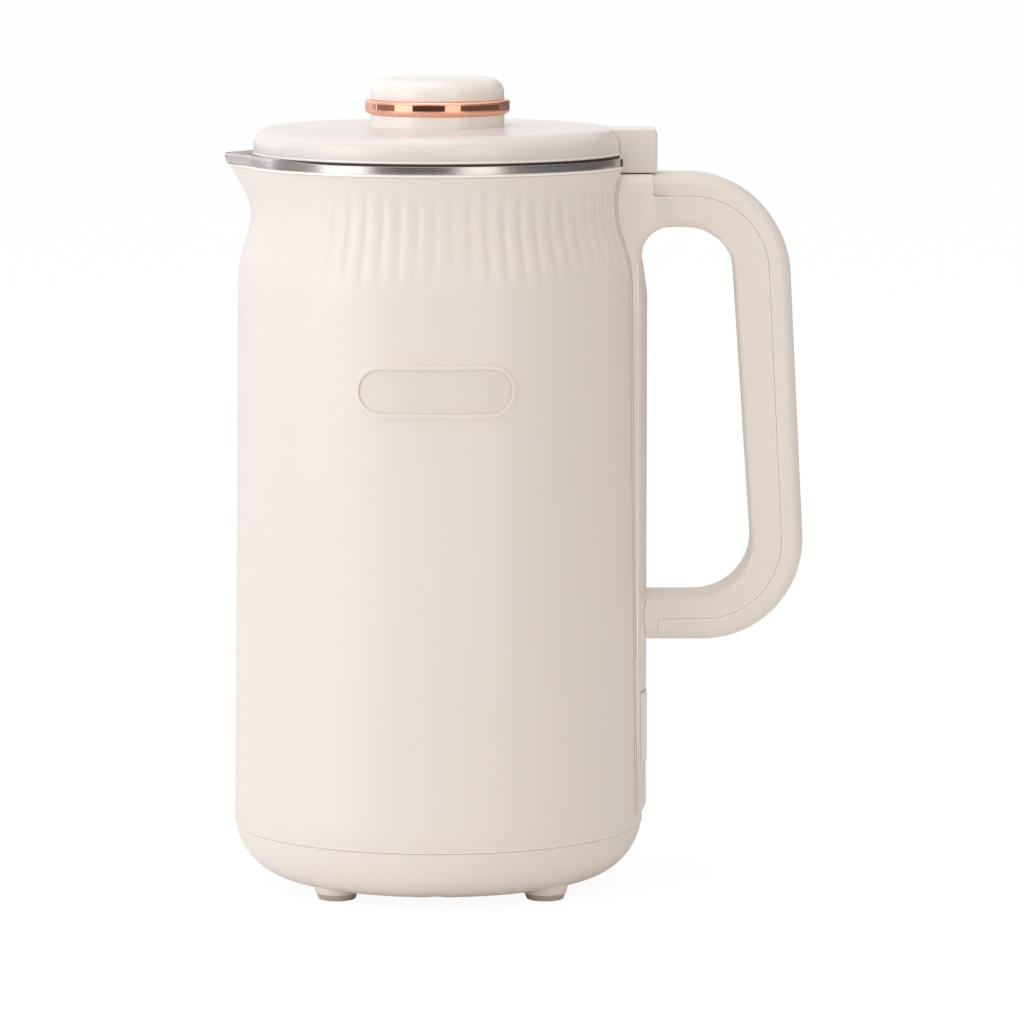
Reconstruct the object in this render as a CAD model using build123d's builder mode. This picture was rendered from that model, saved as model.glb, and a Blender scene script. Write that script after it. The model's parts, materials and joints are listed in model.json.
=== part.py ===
from build123d import *

import os
from math import acos, atan2, cos, degrees, hypot, radians, sin, sqrt, tan

# Nut milk maker: a heated steel cup with a blade, in a moulded jug with a loop handle and a lift-off lid.
# Millimetres, +Z up, spout towards -X, handle towards +X, badge towards -Y.
# Heights are above the table, radii are from the jug's own axis.

# Fits and gaps
SEAM_GAP = 0.3
SLIDE_GAP = 0.3
LOOSE_FIT = 0.15
RUNNING_FIT = 0.05
CUT_OVERRUN = 1.0

# Reach of the whole object from the jug's axis
SPOUT_REACH = 68.0
HANDLE_REACH = 116.9

# Outer housing
BASE_BOTTOM = 3.1
SEAM_HEIGHT = 20.0
SEAM_RADIUS = 65.8
BODY_HEIGHT = 174.0
SHOULDER_RADIUS = 63.85
SHOULDER_RISE = 14.0
NECK_TURN_RADIUS = 61.35
WAIST_RISE = 9.7
WAIST_RADIUS = 59.3
MOUTH_RISE = 13.6
MOUTH_RADIUS = 61.0
HOUSING_WALL = 2.2
GASKET_LEDGE_THICKNESS = 2.5

# Pouring spout
SHELL_SPOUT_REACH = 66.2
SPOUT_FALL = 13.0
SPOUT_FOOT_REACH = 58.5
SPOUT_TIP_RADIUS = 8.0
SPOUT_HALF_ANGLE = 38.0
SPOUT_ROOT_SHARE = 0.96

# Flutes round the neck
FLUTE_COUNT = 68
FLUTE_DEPTH = 0.45
FLUTE_CUTTER_RADIUS = 5.0
FLUTE_RUN_UP = 6.0
FLUTE_TURN_SHARE = 1.5
FLUTE_WAIST_SHARE = 0.25
FLUTE_SPOUT_ANGLE = 27.0
FLUTE_ROOT_ANGLE = 19.0

# Steel cup and steel rim
CUP_RADIUS = 54.2
CUP_WALL = 0.8
CUP_DEPTH = 140.5
CUP_CORNER_RADIUS = 12.0
RIM_BAND = 4.2
RIM_SHEET = 0.8
GASKET_THICKNESS = 1.4
CUP_FLANGE_GAP = 1.2
RIM_NOTCH_WIDTH = 38.0

# Base cover
BASE_WALL = 2.4
BASE_CORNER_WIDTH = 18.3
BASE_CORNER_HEIGHT = 20.0
SPIGOT_HEIGHT = 4.0
SPIGOT_WALL = 2.0
VENT_COUNT = 20
VENT_WIDTH = 2.4
VENT_INNER_RADIUS = 11.0
VENT_OUTER_RADIUS = 27.0

# Feet
FOOT_SHIFT = 1.2
FOOT_OFFSET_X = 33.1
FOOT_OFFSET_Y = 34.0
FOOT_PAD_HEIGHT = 2.0
FOOT_PAD_WIDTH = 13.2
FOOT_PAD_TAPER = 0.8
FOOT_BOSS_WIDTH = 15.0
FOOT_BOSS_TAPER = 0.7
FOOT_PIN_WIDTH = 6.0
FOOT_PIN_LENGTH = 3.0

# Screws of the base cover
BASE_SCREW_RADIUS = 51.0
BASE_SCREW_COUNT = 4
BASE_SCREW_WIDTH = 3.5
BASE_SCREW_HEAD_WIDTH = 6.4
BASE_SCREW_HEAD_HEIGHT = 2.2
BASE_SCREW_GRIP = 12.0
BASE_TOWER_WIDTH = 9.6
BASE_BOSS_HEIGHT = 19.0
BASE_RIB_THICKNESS = 3.0

# Badge on the front
BADGE_HEIGHT = 164.9
BADGE_WIDTH = 50.9
BADGE_DEPTH = 16.9
BADGE_FRAME_WIDTH = 1.6
BADGE_POCKET = 0.9
BADGE_FRAME_RISE = 0.6
BADGE_PLATE_RISE = 0.1

# Back strip and handle
STRIP_WIDTH = 34.0
STRIP_CREST = 67.1
STRIP_CURVE = 48.0
STRIP_START = 4.2
STRIP_CHAMFER = 1.5
STRIP_THROAT_REACH = 65.1
STRIP_BEND_DROP = 39.0
HANDLE_TOP_DROP = 2.1
HANDLE_BOTTOM = 79.9
HANDLE_WIDTH = 24.0
HANDLE_EDGE = 4.0
HANDLE_WALL = 2.4
HANDLE_TILT = 2.87
UPPER_LIMB_DEPTH = 17.0
LOWER_LIMB_DEPTH = 14.3
UPPER_GRIP_DEPTH = 18.1
LOWER_GRIP_DEPTH = 16.0
UPPER_OUTER_BEND = 33.0
LOWER_OUTER_BEND = 32.0
UPPER_INNER_BEND = 15.5
LOWER_INNER_BEND = 17.5
HANDLE_INSIDE_REACH = 62.0
ROOT_END_REACH = 79.0
ROOT_FULL_WIDTH_REACH = 65.0
ROOT_BLEND = 8.5
ROOT_FOOT_DROP = 36.0
CAVITY_REACH = 72.0

# Cover of the handle
COVER_DEPTH = 6.9
UPPER_SEAM_REACH = 68.5
LOWER_SEAM_REACH = 70.5
SEAM_BEND = 25.0
SEAM_CORNER = 1.2
TONGUE_ROOT = 2.0
TONGUE_REACH = 1.2
TONGUE_THICKNESS = 1.2

# Screws of the handle
HANDLE_SCREW_WIDTH = 3.0
HANDLE_SCREW_HEAD_WIDTH = 5.6
HANDLE_SCREW_HEAD_HEIGHT = 1.6
HANDLE_SCREW_GRIP = 4.5
UPPER_SCREW_DROP = 21.2
UPPER_SCREW_SETBACK = 1.3
UPPER_SCREW_SPACING = 24.0
LOWER_SCREW_SPACING = 12.0

# Lid
LID_RADIUS = 58.8
LID_HEIGHT = 8.2
LID_DOME = 0.6
LID_WALL = 2.4
LID_SHOULDER = 5.0
LID_LIP = 1.2
LID_SIT = 0.1
LINER_FLANGE_RADIUS = 58.0
PLUG_RADIUS = 53.4
PLUG_DEPTH = 13.5
PLUG_WALL = 3.0
SEAL_HEIGHT = 3.2
SEAL_GROOVE = 1.6
SEAL_DROP = 5.0

# Tab at the back of the lid
TAB_REACH = 70.0
TAB_WIDTH = 20.0
TAB_TOP_DROP = 0.4
TAB_FALL = 5.3
TAB_EDGE = 1.4

# Knob
KNOB_COLLAR_RADIUS = 21.4
KNOB_COLLAR_HEIGHT = 3.7
KNOB_RING_RADIUS = 23.1
KNOB_RING_HEIGHT = 4.6
KNOB_RING_CHAMFER = 1.3
KNOB_RING_BORE = 19.0
KNOB_CAP_RADIUS = 21.3
KNOB_CAP_HEIGHT = 7.4
KNOB_CAP_ROUNDING = 4.2
KNOB_DOME = 0.5
KNOB_SCREW_WIDTH = 4.0
KNOB_SCREW_HEAD_WIDTH = 8.0
KNOB_SCREW_HEAD_HEIGHT = 2.4
KNOB_SCREW_GRIP = 10.0

# Overflow probe under the lid
PROBE_OFFSET = 20.0
PROBE_WIDTH = 4.0
PROBE_LENGTH = 32.0
PROBE_BUSH_WIDTH = 9.0
PROBE_BUSH_DROP = 4.0
PROBE_BUSH_RISE = 2.0
PROBE_STUB = 3.0

# Lid switch in the handle root
SWITCH_REACH = 64.4
SWITCH_WIDTH = 12.8
SWITCH_DEPTH = 5.8
SWITCH_BODY_HEIGHT = 8.0
SWITCH_WALL = 1.0
SWITCH_POCKET_FALL = 6.0
PLUNGER_WIDTH = 3.2
PLUNGER_COLLAR_WIDTH = 5.0
PLUNGER_COLLAR_HEIGHT = 1.0
PLUNGER_STAND = 0.3
SPRING_HEIGHT = 2.8
SPRING_WALL = 0.6

# Power inlet: the standard appliance inlet with three flat pins
INLET_HEIGHT = 52.0
INLET_FACE_REACH = 67.1
INLET_FLANGE_WIDTH = 29.0
INLET_FLANGE_HEIGHT = 22.0
INLET_FLANGE_THICKNESS = 2.0
INLET_BODY_WIDTH = 27.0
INLET_BODY_HEIGHT = 19.5
INLET_DEPTH = 20.0
INLET_SOCKET_WIDTH = 24.0
INLET_SOCKET_HEIGHT = 16.3
INLET_SOCKET_CHAMFER = 5.5
INLET_SOCKET_DEPTH = 16.0
PIN_SPACING = 14.0
PIN_RISE = 2.0
PIN_HEIGHT = 4.0
PIN_THICKNESS = 2.0
PIN_LENGTH = 14.0
PIN_TAG_LENGTH = 6.0

# Touch panel and its board, on the side away from the badge
PANEL_HEIGHT = 118.0
PANEL_WIDTH = 40.0
PANEL_LENGTH = 78.0
PANEL_CORNER = 7.0
BOARD_THICKNESS = 1.6
BOARD_WIDTH = 34.0
BOARD_LENGTH = 64.0
BOARD_REACH = 56.6
BOARD_POST_WIDTH = 4.0

# Heater under the cup
HEATER_RADIUS = 51.5
HEATER_HOLE_RADIUS = 18.0
HEATER_THICKNESS = 3.0
HEATER_TUBE_WIDTH = 6.4
HEATER_TUBE_RADIUS = 38.0
HEATER_TUBE_ANGLE = 310.0
SENSOR_OFFSET = 27.0
SENSOR_WIDTH = 7.0
SENSOR_HEIGHT = 5.0
FUSE_WIDTH = 5.0
FUSE_LENGTH = 12.0

# Motor mount
STUD_RADIUS = 46.0
STUD_COUNT = 4
STUD_WIDTH = 8.0
STUD_HEIGHT = 6.7
DAMPER_WIDTH = 12.0
DAMPER_HEIGHT = 5.0
MOUNT_RADIUS = 54.0
MOUNT_THICKNESS = 2.0
MOUNT_SCREW_WIDTH = 4.0
MOUNT_SCREW_HEAD_WIDTH = 7.0
MOUNT_SCREW_HEAD_HEIGHT = 2.0
MOUNT_SCREW_GRIP = 4.0

# Bearings
BEARING_WIDTH = 22.0
BEARING_HEIGHT = 7.0
BEARING_BOSS_WALL = 3.0
BEARING_LIP = 1.0
BEARING_LIP_HOLE = 14.0

# Motor
SHAFT_WIDTH = 8.0
SHAFT_END = 1.0
CAN_WIDTH = 60.0
CAN_WALL = 2.0
CAN_HEIGHT = 53.5
CAN_WINDOW_WIDTH = 18.0
CAN_WINDOW_HEIGHT = 15.0
STATOR_BORE = 30.6
STATOR_HEIGHT = 20.0
ARMATURE_HEIGHT = 16.0
ARMATURE_WIDTH = 29.4
ARMATURE_SLOTS = 12
ARMATURE_SLOT_WIDTH = 2.0
ARMATURE_SLOT_DEPTH = 4.0
WINDING_WIDTH = 26.0
WINDING_HEIGHT = 4.0
COIL_HEIGHT = 4.0
COIL_INNER_RADIUS = 17.0
COIL_OUTER_RADIUS = 26.0
COIL_SPREAD = 26.0
COMMUTATOR_WIDTH = 22.0
COMMUTATOR_HEIGHT = 10.0
COMMUTATOR_BARS = 24
COMMUTATOR_SLOT = 0.6
BRUSH_WIDTH = 5.0
BRUSH_HEIGHT = 6.0
BRUSH_LENGTH = 12.0
BRUSH_HOLDER_WALL = 1.2
BRUSH_HOLDER_LENGTH = 17.0
BRUSH_FLANGE_WIDTH = 16.0
BRUSH_FLANGE_THICKNESS = 1.5
FAN_WIDTH = 50.0
FAN_HUB_WIDTH = 16.0
FAN_PLATE = 1.6
FAN_HEIGHT = 9.0
FAN_BLADES = 11
FAN_BLADE_THICKNESS = 1.4
FAN_DROP = 3.0
MOUNT_VENT_RADIUS = 37.0
MOUNT_VENT_WIDTH = 17.0

# Shaft seal in the cup's floor
SEAL_FLANGE_WIDTH = 34.0
SEAL_FLANGE_HEIGHT = 1.6
SEAL_TUBE_WIDTH = 22.0
SEAL_TUBE_BORE = 13.0
SEAL_TUBE_LENGTH = 9.0
SEAL_LIP_HEIGHT = 4.0
SLINGER_GAP = 0.6

# Blades
BLADE_RISE = 6.0
BLADE_SPAN = 62.0
BLADE_WIDTH = 13.0
BLADE_THICKNESS = 1.4
BLADE_TIP_WIDTH = 6.0
BLADE_BEND_REACH = 12.0
LOWER_BLADE_BEND = 8.0
UPPER_BLADE_BEND = 22.0
SPACER_WIDTH = 14.0
SPACER_HEIGHT = 3.0
NUT_WIDTH = 13.0
NUT_HEIGHT = 6.5
UPPER_BLADE_TURN = 60

# Power board, upright between the motor and the housing
POWER_BOARD_REACH = 39.0
POWER_BOARD_WIDTH = 58.0
POWER_BOARD_HEIGHT = 44.0
POWER_BOARD_LIFT = 1.0
GUIDE_THICKNESS = 5.0
GUIDE_DEPTH = 8.0
GUIDE_HEIGHT = 12.0
RELAY_DEPTH = 10.0
RELAY_WIDTH = 15.0
RELAY_HEIGHT = 19.0
PART_SPACING = 34.0
PART_HEIGHT_SHARE = 0.6
CAPACITOR_WIDTH = 10.0
CAPACITOR_HEIGHT = 16.0

# Heights worked out from the sizes above
SHOULDER_HEIGHT = SEAM_HEIGHT + BODY_HEIGHT
NECK_TURN_HEIGHT = SHOULDER_HEIGHT + SHOULDER_RISE
WAIST_HEIGHT = NECK_TURN_HEIGHT + WAIST_RISE
HOUSING_TOP = WAIST_HEIGHT + MOUTH_RISE
RIM_TOP = HOUSING_TOP + RIM_BAND
RIM_LEDGE = HOUSING_TOP + RIM_SHEET
FLANGE_TOP = HOUSING_TOP - CUP_WALL
GASKET_TOP = FLANGE_TOP - CUP_WALL
LEDGE_TOP = GASKET_TOP - GASKET_THICKNESS
CUP_FLOOR = RIM_TOP - CUP_DEPTH
CUP_UNDERSIDE = CUP_FLOOR - CUP_WALL
HANDLE_TOP = HOUSING_TOP - HANDLE_TOP_DROP
LID_BOTTOM = RIM_TOP - LID_SIT
LID_EDGE_TOP = LID_BOTTOM + LID_HEIGHT
LID_TOP = LID_EDGE_TOP + LID_DOME
TAB_BOTTOM = LID_BOTTOM - TAB_FALL
TAB_TOP = LID_EDGE_TOP - TAB_TOP_DROP
UPPER_UNDERSIDE = HANDLE_TOP - UPPER_LIMB_DEPTH
LOWER_UPSIDE = HANDLE_BOTTOM + LOWER_LIMB_DEPTH
SWITCH_TOP = HANDLE_TOP - HANDLE_WALL
SWITCH_BOTTOM = SWITCH_TOP - SWITCH_BODY_HEIGHT
COLLAR_TOP = LID_TOP + KNOB_COLLAR_HEIGHT
RING_TOP = COLLAR_TOP + KNOB_RING_HEIGHT
KNOB_TOP = RING_TOP + KNOB_CAP_HEIGHT
PLUG_BOTTOM = LID_BOTTOM - PLUG_DEPTH
SEAL_BOTTOM = PLUG_BOTTOM + SEAL_DROP
BASE_FLOOR = BASE_BOTTOM + BASE_WALL
HEATER_BOTTOM = CUP_UNDERSIDE - HEATER_THICKNESS
STUD_BOTTOM = HEATER_BOTTOM - STUD_HEIGHT
MOUNT_TOP = STUD_BOTTOM - DAMPER_HEIGHT
MOUNT_BOTTOM = MOUNT_TOP - MOUNT_THICKNESS
UPPER_BEARING_BOTTOM = MOUNT_TOP - BEARING_HEIGHT
CAN_BOTTOM = MOUNT_BOTTOM - CAN_HEIGHT
LOWER_BEARING_BOTTOM = CAN_BOTTOM + CAN_WALL
ARMATURE_WINDING_TOP = UPPER_BEARING_BOTTOM - BEARING_LIP - WINDING_HEIGHT / 2
ARMATURE_TOP = ARMATURE_WINDING_TOP - WINDING_HEIGHT
ARMATURE_BOTTOM = ARMATURE_TOP - ARMATURE_HEIGHT
COMMUTATOR_TOP = ARMATURE_BOTTOM - WINDING_HEIGHT - COMMUTATOR_SLOT
STATOR_TOP = ARMATURE_TOP + (STATOR_HEIGHT - ARMATURE_HEIGHT) / 2
STATOR_BOTTOM = STATOR_TOP - STATOR_HEIGHT
BRUSH_LEVEL = COMMUTATOR_TOP - COMMUTATOR_HEIGHT / 2
FAN_TOP = CAN_BOTTOM - FAN_DROP
SEAL_TUBE_TOP = CUP_FLOOR + SEAL_FLANGE_HEIGHT
LOWER_BLADE_LEVEL = CUP_FLOOR + BLADE_RISE
UPPER_BLADE_LEVEL = LOWER_BLADE_LEVEL + BLADE_THICKNESS + SPACER_HEIGHT
NUT_BOTTOM = UPPER_BLADE_LEVEL + BLADE_THICKNESS

# The jug's axis stands off the origin, so that the whole object is centred on it
AXIS_X = (SPOUT_REACH - HANDLE_REACH) / 2
JUG_AXIS = Axis((AXIS_X, 0, 0), (0, 0, 1))


def level(height):
    """Horizontal plane on the jug's axis at a height above the table"""
    return Plane((AXIS_X, 0, height))


def foot_level(height):
    """Level plane at a height, centred between the feet"""
    return Plane((AXIS_X + FOOT_SHIFT, 0, height))


def upright():
    """Plane through the jug's axis that faces the front, with X to the right and Z up"""
    return Plane(origin=(AXIS_X, 0, 0), x_dir=(1, 0, 0), z_dir=(0, -1, 0))


def facing_back(reach):
    """Plane square to X at a reach from the jug's axis, facing the handle"""
    return Plane(origin=(AXIS_X + reach, 0, 0), x_dir=(0, 1, 0), z_dir=(1, 0, 0))


def facing_side(reach):
    """Plane square to Y at a reach from the jug's axis, facing +Y, with X to the left and Z up"""
    return Plane(origin=(AXIS_X, reach, 0), x_dir=(-1, 0, 0), z_dir=(0, 1, 0))


def keep(part, name):
    """Label a finished piece and write it as its own file"""
    part.label = name
    export_step(part, f"parts/{name}.step")


def spout_outline(height, tip_reach, tip_radius, root_radius):
    """Pouring lip in plan: two straight flanks that run tangent into a round tip towards -X"""
    angle = radians(SPOUT_HALF_ANGLE)
    root = Vector(-root_radius * cos(angle), root_radius * sin(angle))
    centre = Vector(tip_radius - tip_reach, 0)
    to_root = root - centre
    touch_angle = atan2(to_root.Y, to_root.X) + acos(tip_radius / hypot(to_root.X, to_root.Y))
    touch = centre + Vector(tip_radius * cos(touch_angle), tip_radius * sin(touch_angle))
    with BuildSketch(level(height)) as outline:
        with BuildLine():
            flank = Line(root, touch)
            tip = ThreePointArc(flank @ 1, (-tip_reach, 0), (touch.X, -touch.Y))
            other = Line(tip @ 1, (root.X, -root.Y))
            Line(other @ 1, flank @ 0)
        make_face()
    return outline.sketch


def turned_volume(inset):
    """Everything within the housing's turned shape, body and neck, drawn in by inset"""
    with BuildPart() as volume:
        with BuildSketch(upright()):
            with BuildLine():
                side = Line((SEAM_RADIUS - inset, SEAM_HEIGHT), (SHOULDER_RADIUS - inset, SHOULDER_HEIGHT))
                neck_turn = (NECK_TURN_RADIUS - inset, NECK_TURN_HEIGHT)
                shoulder = TangentArc(side @ 1, neck_turn, tangent=side % 1)
                neck = TangentArc(shoulder @ 1, (WAIST_RADIUS - inset, WAIST_HEIGHT), tangent=shoulder % 1)
                mouth = TangentArc(neck @ 1, (MOUTH_RADIUS - inset, HOUSING_TOP), tangent=neck % 1)
                Polyline(mouth @ 1, (0, HOUSING_TOP), (0, SEAM_HEIGHT), side @ 0)
            make_face()
        revolve(axis=JUG_AXIS)
    return volume.part


def spout_volume(inset):
    """The pouring lip that stands out of the neck, drawn in by inset"""
    root_radius = WAIST_RADIUS * SPOUT_ROOT_SHARE
    with BuildPart() as volume:
        foot_height = HOUSING_TOP - SPOUT_FALL
        add(spout_outline(foot_height, SPOUT_FOOT_REACH - inset, SPOUT_TIP_RADIUS - inset, root_radius))
        add(spout_outline(HOUSING_TOP, SHELL_SPOUT_REACH - inset, SPOUT_TIP_RADIUS - inset, root_radius))
        loft(ruled=True)
    return volume.part


def ring(bottom, top, outer_radius, inner_radius=0):
    """Plain round ring on the jug's axis"""
    with BuildPart() as shape:
        with BuildSketch(level(bottom)):
            Circle(outer_radius)
            if inner_radius > 0:
                Circle(inner_radius, mode=Mode.SUBTRACT)
        extrude(amount=top - bottom)
    return shape.part


os.makedirs("parts", exist_ok=True)

outer_turned = turned_volume(0)
inner_turned = turned_volume(HOUSING_WALL)
outer_spout = spout_volume(0)
inner_spout = spout_volume(HOUSING_WALL)

# Flutes: one bent rod, laid along the neck and repeated round it, except at spout and handle
cutter_reach = FLUTE_CUTTER_RADIUS - FLUTE_DEPTH
with BuildPart() as flute_cutter:
    with BuildLine(upright()) as flute_path:
        Spline(
            (SHOULDER_RADIUS + FLUTE_CUTTER_RADIUS + FLUTE_DEPTH, SHOULDER_HEIGHT - FLUTE_RUN_UP / 2),
            (
                NECK_TURN_RADIUS + cutter_reach + FLUTE_DEPTH * FLUTE_TURN_SHARE,
                NECK_TURN_HEIGHT - FLUTE_RUN_UP / 2,
            ),
            (WAIST_RADIUS + cutter_reach, WAIST_HEIGHT - FLUTE_RUN_UP * FLUTE_WAIST_SHARE),
            (WAIST_RADIUS + FLUTE_CUTTER_RADIUS + FLUTE_DEPTH * 2, HOUSING_TOP - FLUTE_RUN_UP / 2),
        )
    with BuildSketch(Plane(origin=flute_path.line @ 0, z_dir=flute_path.line % 0)):
        Circle(FLUTE_CUTTER_RADIUS)
    sweep()

flute_pitch = 360 / FLUTE_COUNT
flute_angles = [
    number * flute_pitch
    for number in range(FLUTE_COUNT)
    if FLUTE_ROOT_ANGLE < number * flute_pitch < 180 - FLUTE_SPOUT_ANGLE
    or 180 + FLUTE_SPOUT_ANGLE < number * flute_pitch < 360 - FLUTE_ROOT_ANGLE
]
flute_tools = [flute_cutter.part.rotate(JUG_AXIS, angle) for angle in flute_angles]

# Handle outlines in the upright plane, worked out from the reach of the handle
handle_slope = tan(radians(HANDLE_TILT))
lower_corner_reach = (
    HANDLE_REACH
    - LOWER_OUTER_BEND
    + LOWER_OUTER_BEND * cos(radians(HANDLE_TILT))
    + LOWER_OUTER_BEND * (1 + sin(radians(HANDLE_TILT))) * handle_slope
)


def back_line(height):
    """Reach of the handle's straight outer line, carried on to any height"""
    return lower_corner_reach - (height - HANDLE_BOTTOM) * handle_slope


def handle_slab(inset):
    """Loop of the handle, open towards the jug, drawn in by inset on every side"""
    start = HANDLE_INSIDE_REACH + inset
    top = HANDLE_TOP - inset
    bottom = HANDLE_BOTTOM + inset
    underside = UPPER_UNDERSIDE + inset
    upside = LOWER_UPSIDE - inset
    with BuildPart() as slab:
        with BuildSketch(upright().offset(inset - HANDLE_WIDTH / 2)):
            with BuildLine():
                outside = FilletPolyline(
                    (start, top),
                    (back_line(top) - inset, top),
                    (back_line(bottom) - inset, bottom),
                    (start, bottom),
                    radius=(UPPER_OUTER_BEND - inset, LOWER_OUTER_BEND - inset),
                )
                inside = FilletPolyline(
                    (start, upside),
                    (back_line(upside) - LOWER_GRIP_DEPTH + inset, upside),
                    (back_line(underside) - UPPER_GRIP_DEPTH + inset, underside),
                    (start, underside),
                    radius=(LOWER_INNER_BEND + inset, UPPER_INNER_BEND + inset),
                )
                Line(outside @ 1, inside @ 0)
                Line(inside @ 1, outside @ 0)
            make_face()
        extrude(amount=HANDLE_WIDTH - 2 * inset)
    return slab.part


def cover_field(shift):
    """Field outside the handle's parting line, moved outwards by shift"""
    upper = HANDLE_TOP - COVER_DEPTH + shift
    lower = HANDLE_BOTTOM + COVER_DEPTH - shift
    far = HANDLE_REACH + HANDLE_WIDTH
    with BuildPart() as field:
        with BuildSketch(upright()):
            with BuildLine():
                inner = FilletPolyline(
                    (UPPER_SEAM_REACH + shift, HANDLE_TOP + HANDLE_WIDTH),
                    (UPPER_SEAM_REACH + shift, upper),
                    (back_line(upper) - COVER_DEPTH + shift, upper),
                    (back_line(lower) - COVER_DEPTH + shift, lower),
                    (LOWER_SEAM_REACH + shift, lower),
                    (LOWER_SEAM_REACH + shift, HANDLE_BOTTOM - HANDLE_WIDTH),
                    radius=(SEAM_CORNER, SEAM_BEND + shift, SEAM_BEND + shift, SEAM_CORNER),
                )
                Polyline(
                    inner @ 1,
                    (far, HANDLE_BOTTOM - HANDLE_WIDTH),
                    (far, HANDLE_TOP + HANDLE_WIDTH),
                    inner @ 0,
                )
            make_face()
        extrude(amount=HANDLE_WIDTH, both=True)
    return field.part


def lid_volume(inset):
    """The lid's outer form, drawn in by inset and filled"""
    reach = LID_RADIUS - inset
    with BuildPart() as volume:
        with BuildSketch(upright()):
            with BuildLine():
                crown = TangentArc(
                    (0, LID_TOP - inset), (LID_RADIUS - LID_SHOULDER, LID_EDGE_TOP - inset), tangent=(1, 0)
                )
                shoulder = TangentArc(crown @ 1, (reach, LID_EDGE_TOP - LID_SHOULDER), tangent=crown % 1)
                side = Line(shoulder @ 1, (reach, LID_BOTTOM + LID_LIP))
                lip = TangentArc(side @ 1, (reach - LID_LIP, LID_BOTTOM), tangent=side % 1)
                Polyline(lip @ 1, (0, LID_BOTTOM), crown @ 0)
            make_face()
        revolve(axis=JUG_AXIS)
    return volume.part


def upright_block(near, far, width, bottom, top):
    """Plain block square to the jug, between two reaches along X"""
    with BuildPart() as block:
        with BuildSketch(level(bottom)):
            with Locations(((near + far) / 2, 0)):
                Rectangle(far - near, width)
        extrude(amount=top - bottom)
    return block.part


def badge_column(width, depth):
    """Stadium-shaped column through the front of the jug at the badge's height"""
    with BuildPart() as column:
        with BuildSketch(upright()):
            with Locations((0, BADGE_HEIGHT)):
                SlotOverall(width, depth)
        extrude(amount=SEAM_RADIUS + CUT_OVERRUN)
    return column.part


def panel_column(play):
    """Column through the jug's far side at the touch panel, smaller all round by play"""
    with BuildPart() as column:
        with BuildSketch(facing_side(0)):
            with Locations((0, PANEL_HEIGHT)):
                RectangleRounded(PANEL_WIDTH - 2 * play, PANEL_LENGTH - 2 * play, PANEL_CORNER - play)
        extrude(amount=SEAM_RADIUS + CUT_OVERRUN)
    return column.part


def inlet_block(width, height, near, far):
    """Block along X at the power inlet's height"""
    with BuildPart() as block:
        with BuildSketch(facing_back(near)):
            with Locations((0, INLET_HEIGHT)):
                Rectangle(width, height)
        extrude(amount=far - near)
    return block.part


def rods(places, radius, near, far):
    """Round rods along X between two reaches, one at each (sideways, height) place"""
    with BuildPart() as group:
        with BuildSketch(facing_back(near)):
            with Locations(places):
                Circle(radius)
        extrude(amount=far - near)
    return group.part


def columns(radius_out, count, radius, bottom, top):
    """Round upright rods on a circle about the jug's axis"""
    with BuildPart() as group:
        with BuildSketch(level(bottom)):
            with PolarLocations(radius_out, count):
                Circle(radius)
        extrude(amount=top - bottom)
    return group.part


lining_radius = SEAM_RADIUS - HOUSING_WALL
cup_flange_radius = MOUTH_RADIUS - HOUSING_WALL - CUP_FLANGE_GAP
cup_outer_radius = CUP_RADIUS + CUP_WALL
badge_floor = turned_volume(BADGE_POCKET)
inlet_near = INLET_FACE_REACH - INLET_FLANGE_THICKNESS
upper_screw_places = [
    (UPPER_SCREW_SPACING / 2, HANDLE_TOP - UPPER_SCREW_DROP),
    (-UPPER_SCREW_SPACING / 2, HANDLE_TOP - UPPER_SCREW_DROP),
]
lower_screw_places = [
    (LOWER_SCREW_SPACING / 2, HANDLE_BOTTOM + LOWER_LIMB_DEPTH / 2),
    (-LOWER_SCREW_SPACING / 2, HANDLE_BOTTOM + LOWER_LIMB_DEPTH / 2),
]
handle_screw_hole = HANDLE_SCREW_WIDTH / 2 + LOOSE_FIT
handle_screw_pilot = HANDLE_SCREW_WIDTH / 2 + RUNNING_FIT
upper_head_side = UPPER_SCREW_SPACING / 2 + HANDLE_SCREW_HEAD_WIDTH / 2
upper_seat = sqrt((NECK_TURN_RADIUS - HOUSING_WALL) ** 2 - upper_head_side**2) - UPPER_SCREW_SETBACK
lower_seat = SHOULDER_RADIUS - HOUSING_WALL
upper_shank_end = upper_seat + HOUSING_WALL + HANDLE_SCREW_GRIP
lower_shank_end = lower_seat + HOUSING_WALL + HANDLE_SCREW_GRIP

# Outer housing: turned shell with spout, fluted neck, gasket ledge, screw bosses and openings
with BuildPart() as badge_pocket:
    add(badge_column(BADGE_WIDTH, BADGE_DEPTH))
    add(badge_floor, mode=Mode.SUBTRACT)

with BuildPart() as rim_notch:
    add(upright_block(0, SEAM_RADIUS + CUT_OVERRUN, STRIP_WIDTH, HANDLE_TOP, RIM_TOP + CUT_OVERRUN))
    add(ring(HANDLE_TOP - CUT_OVERRUN, RIM_TOP, cup_flange_radius), mode=Mode.SUBTRACT)

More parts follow.
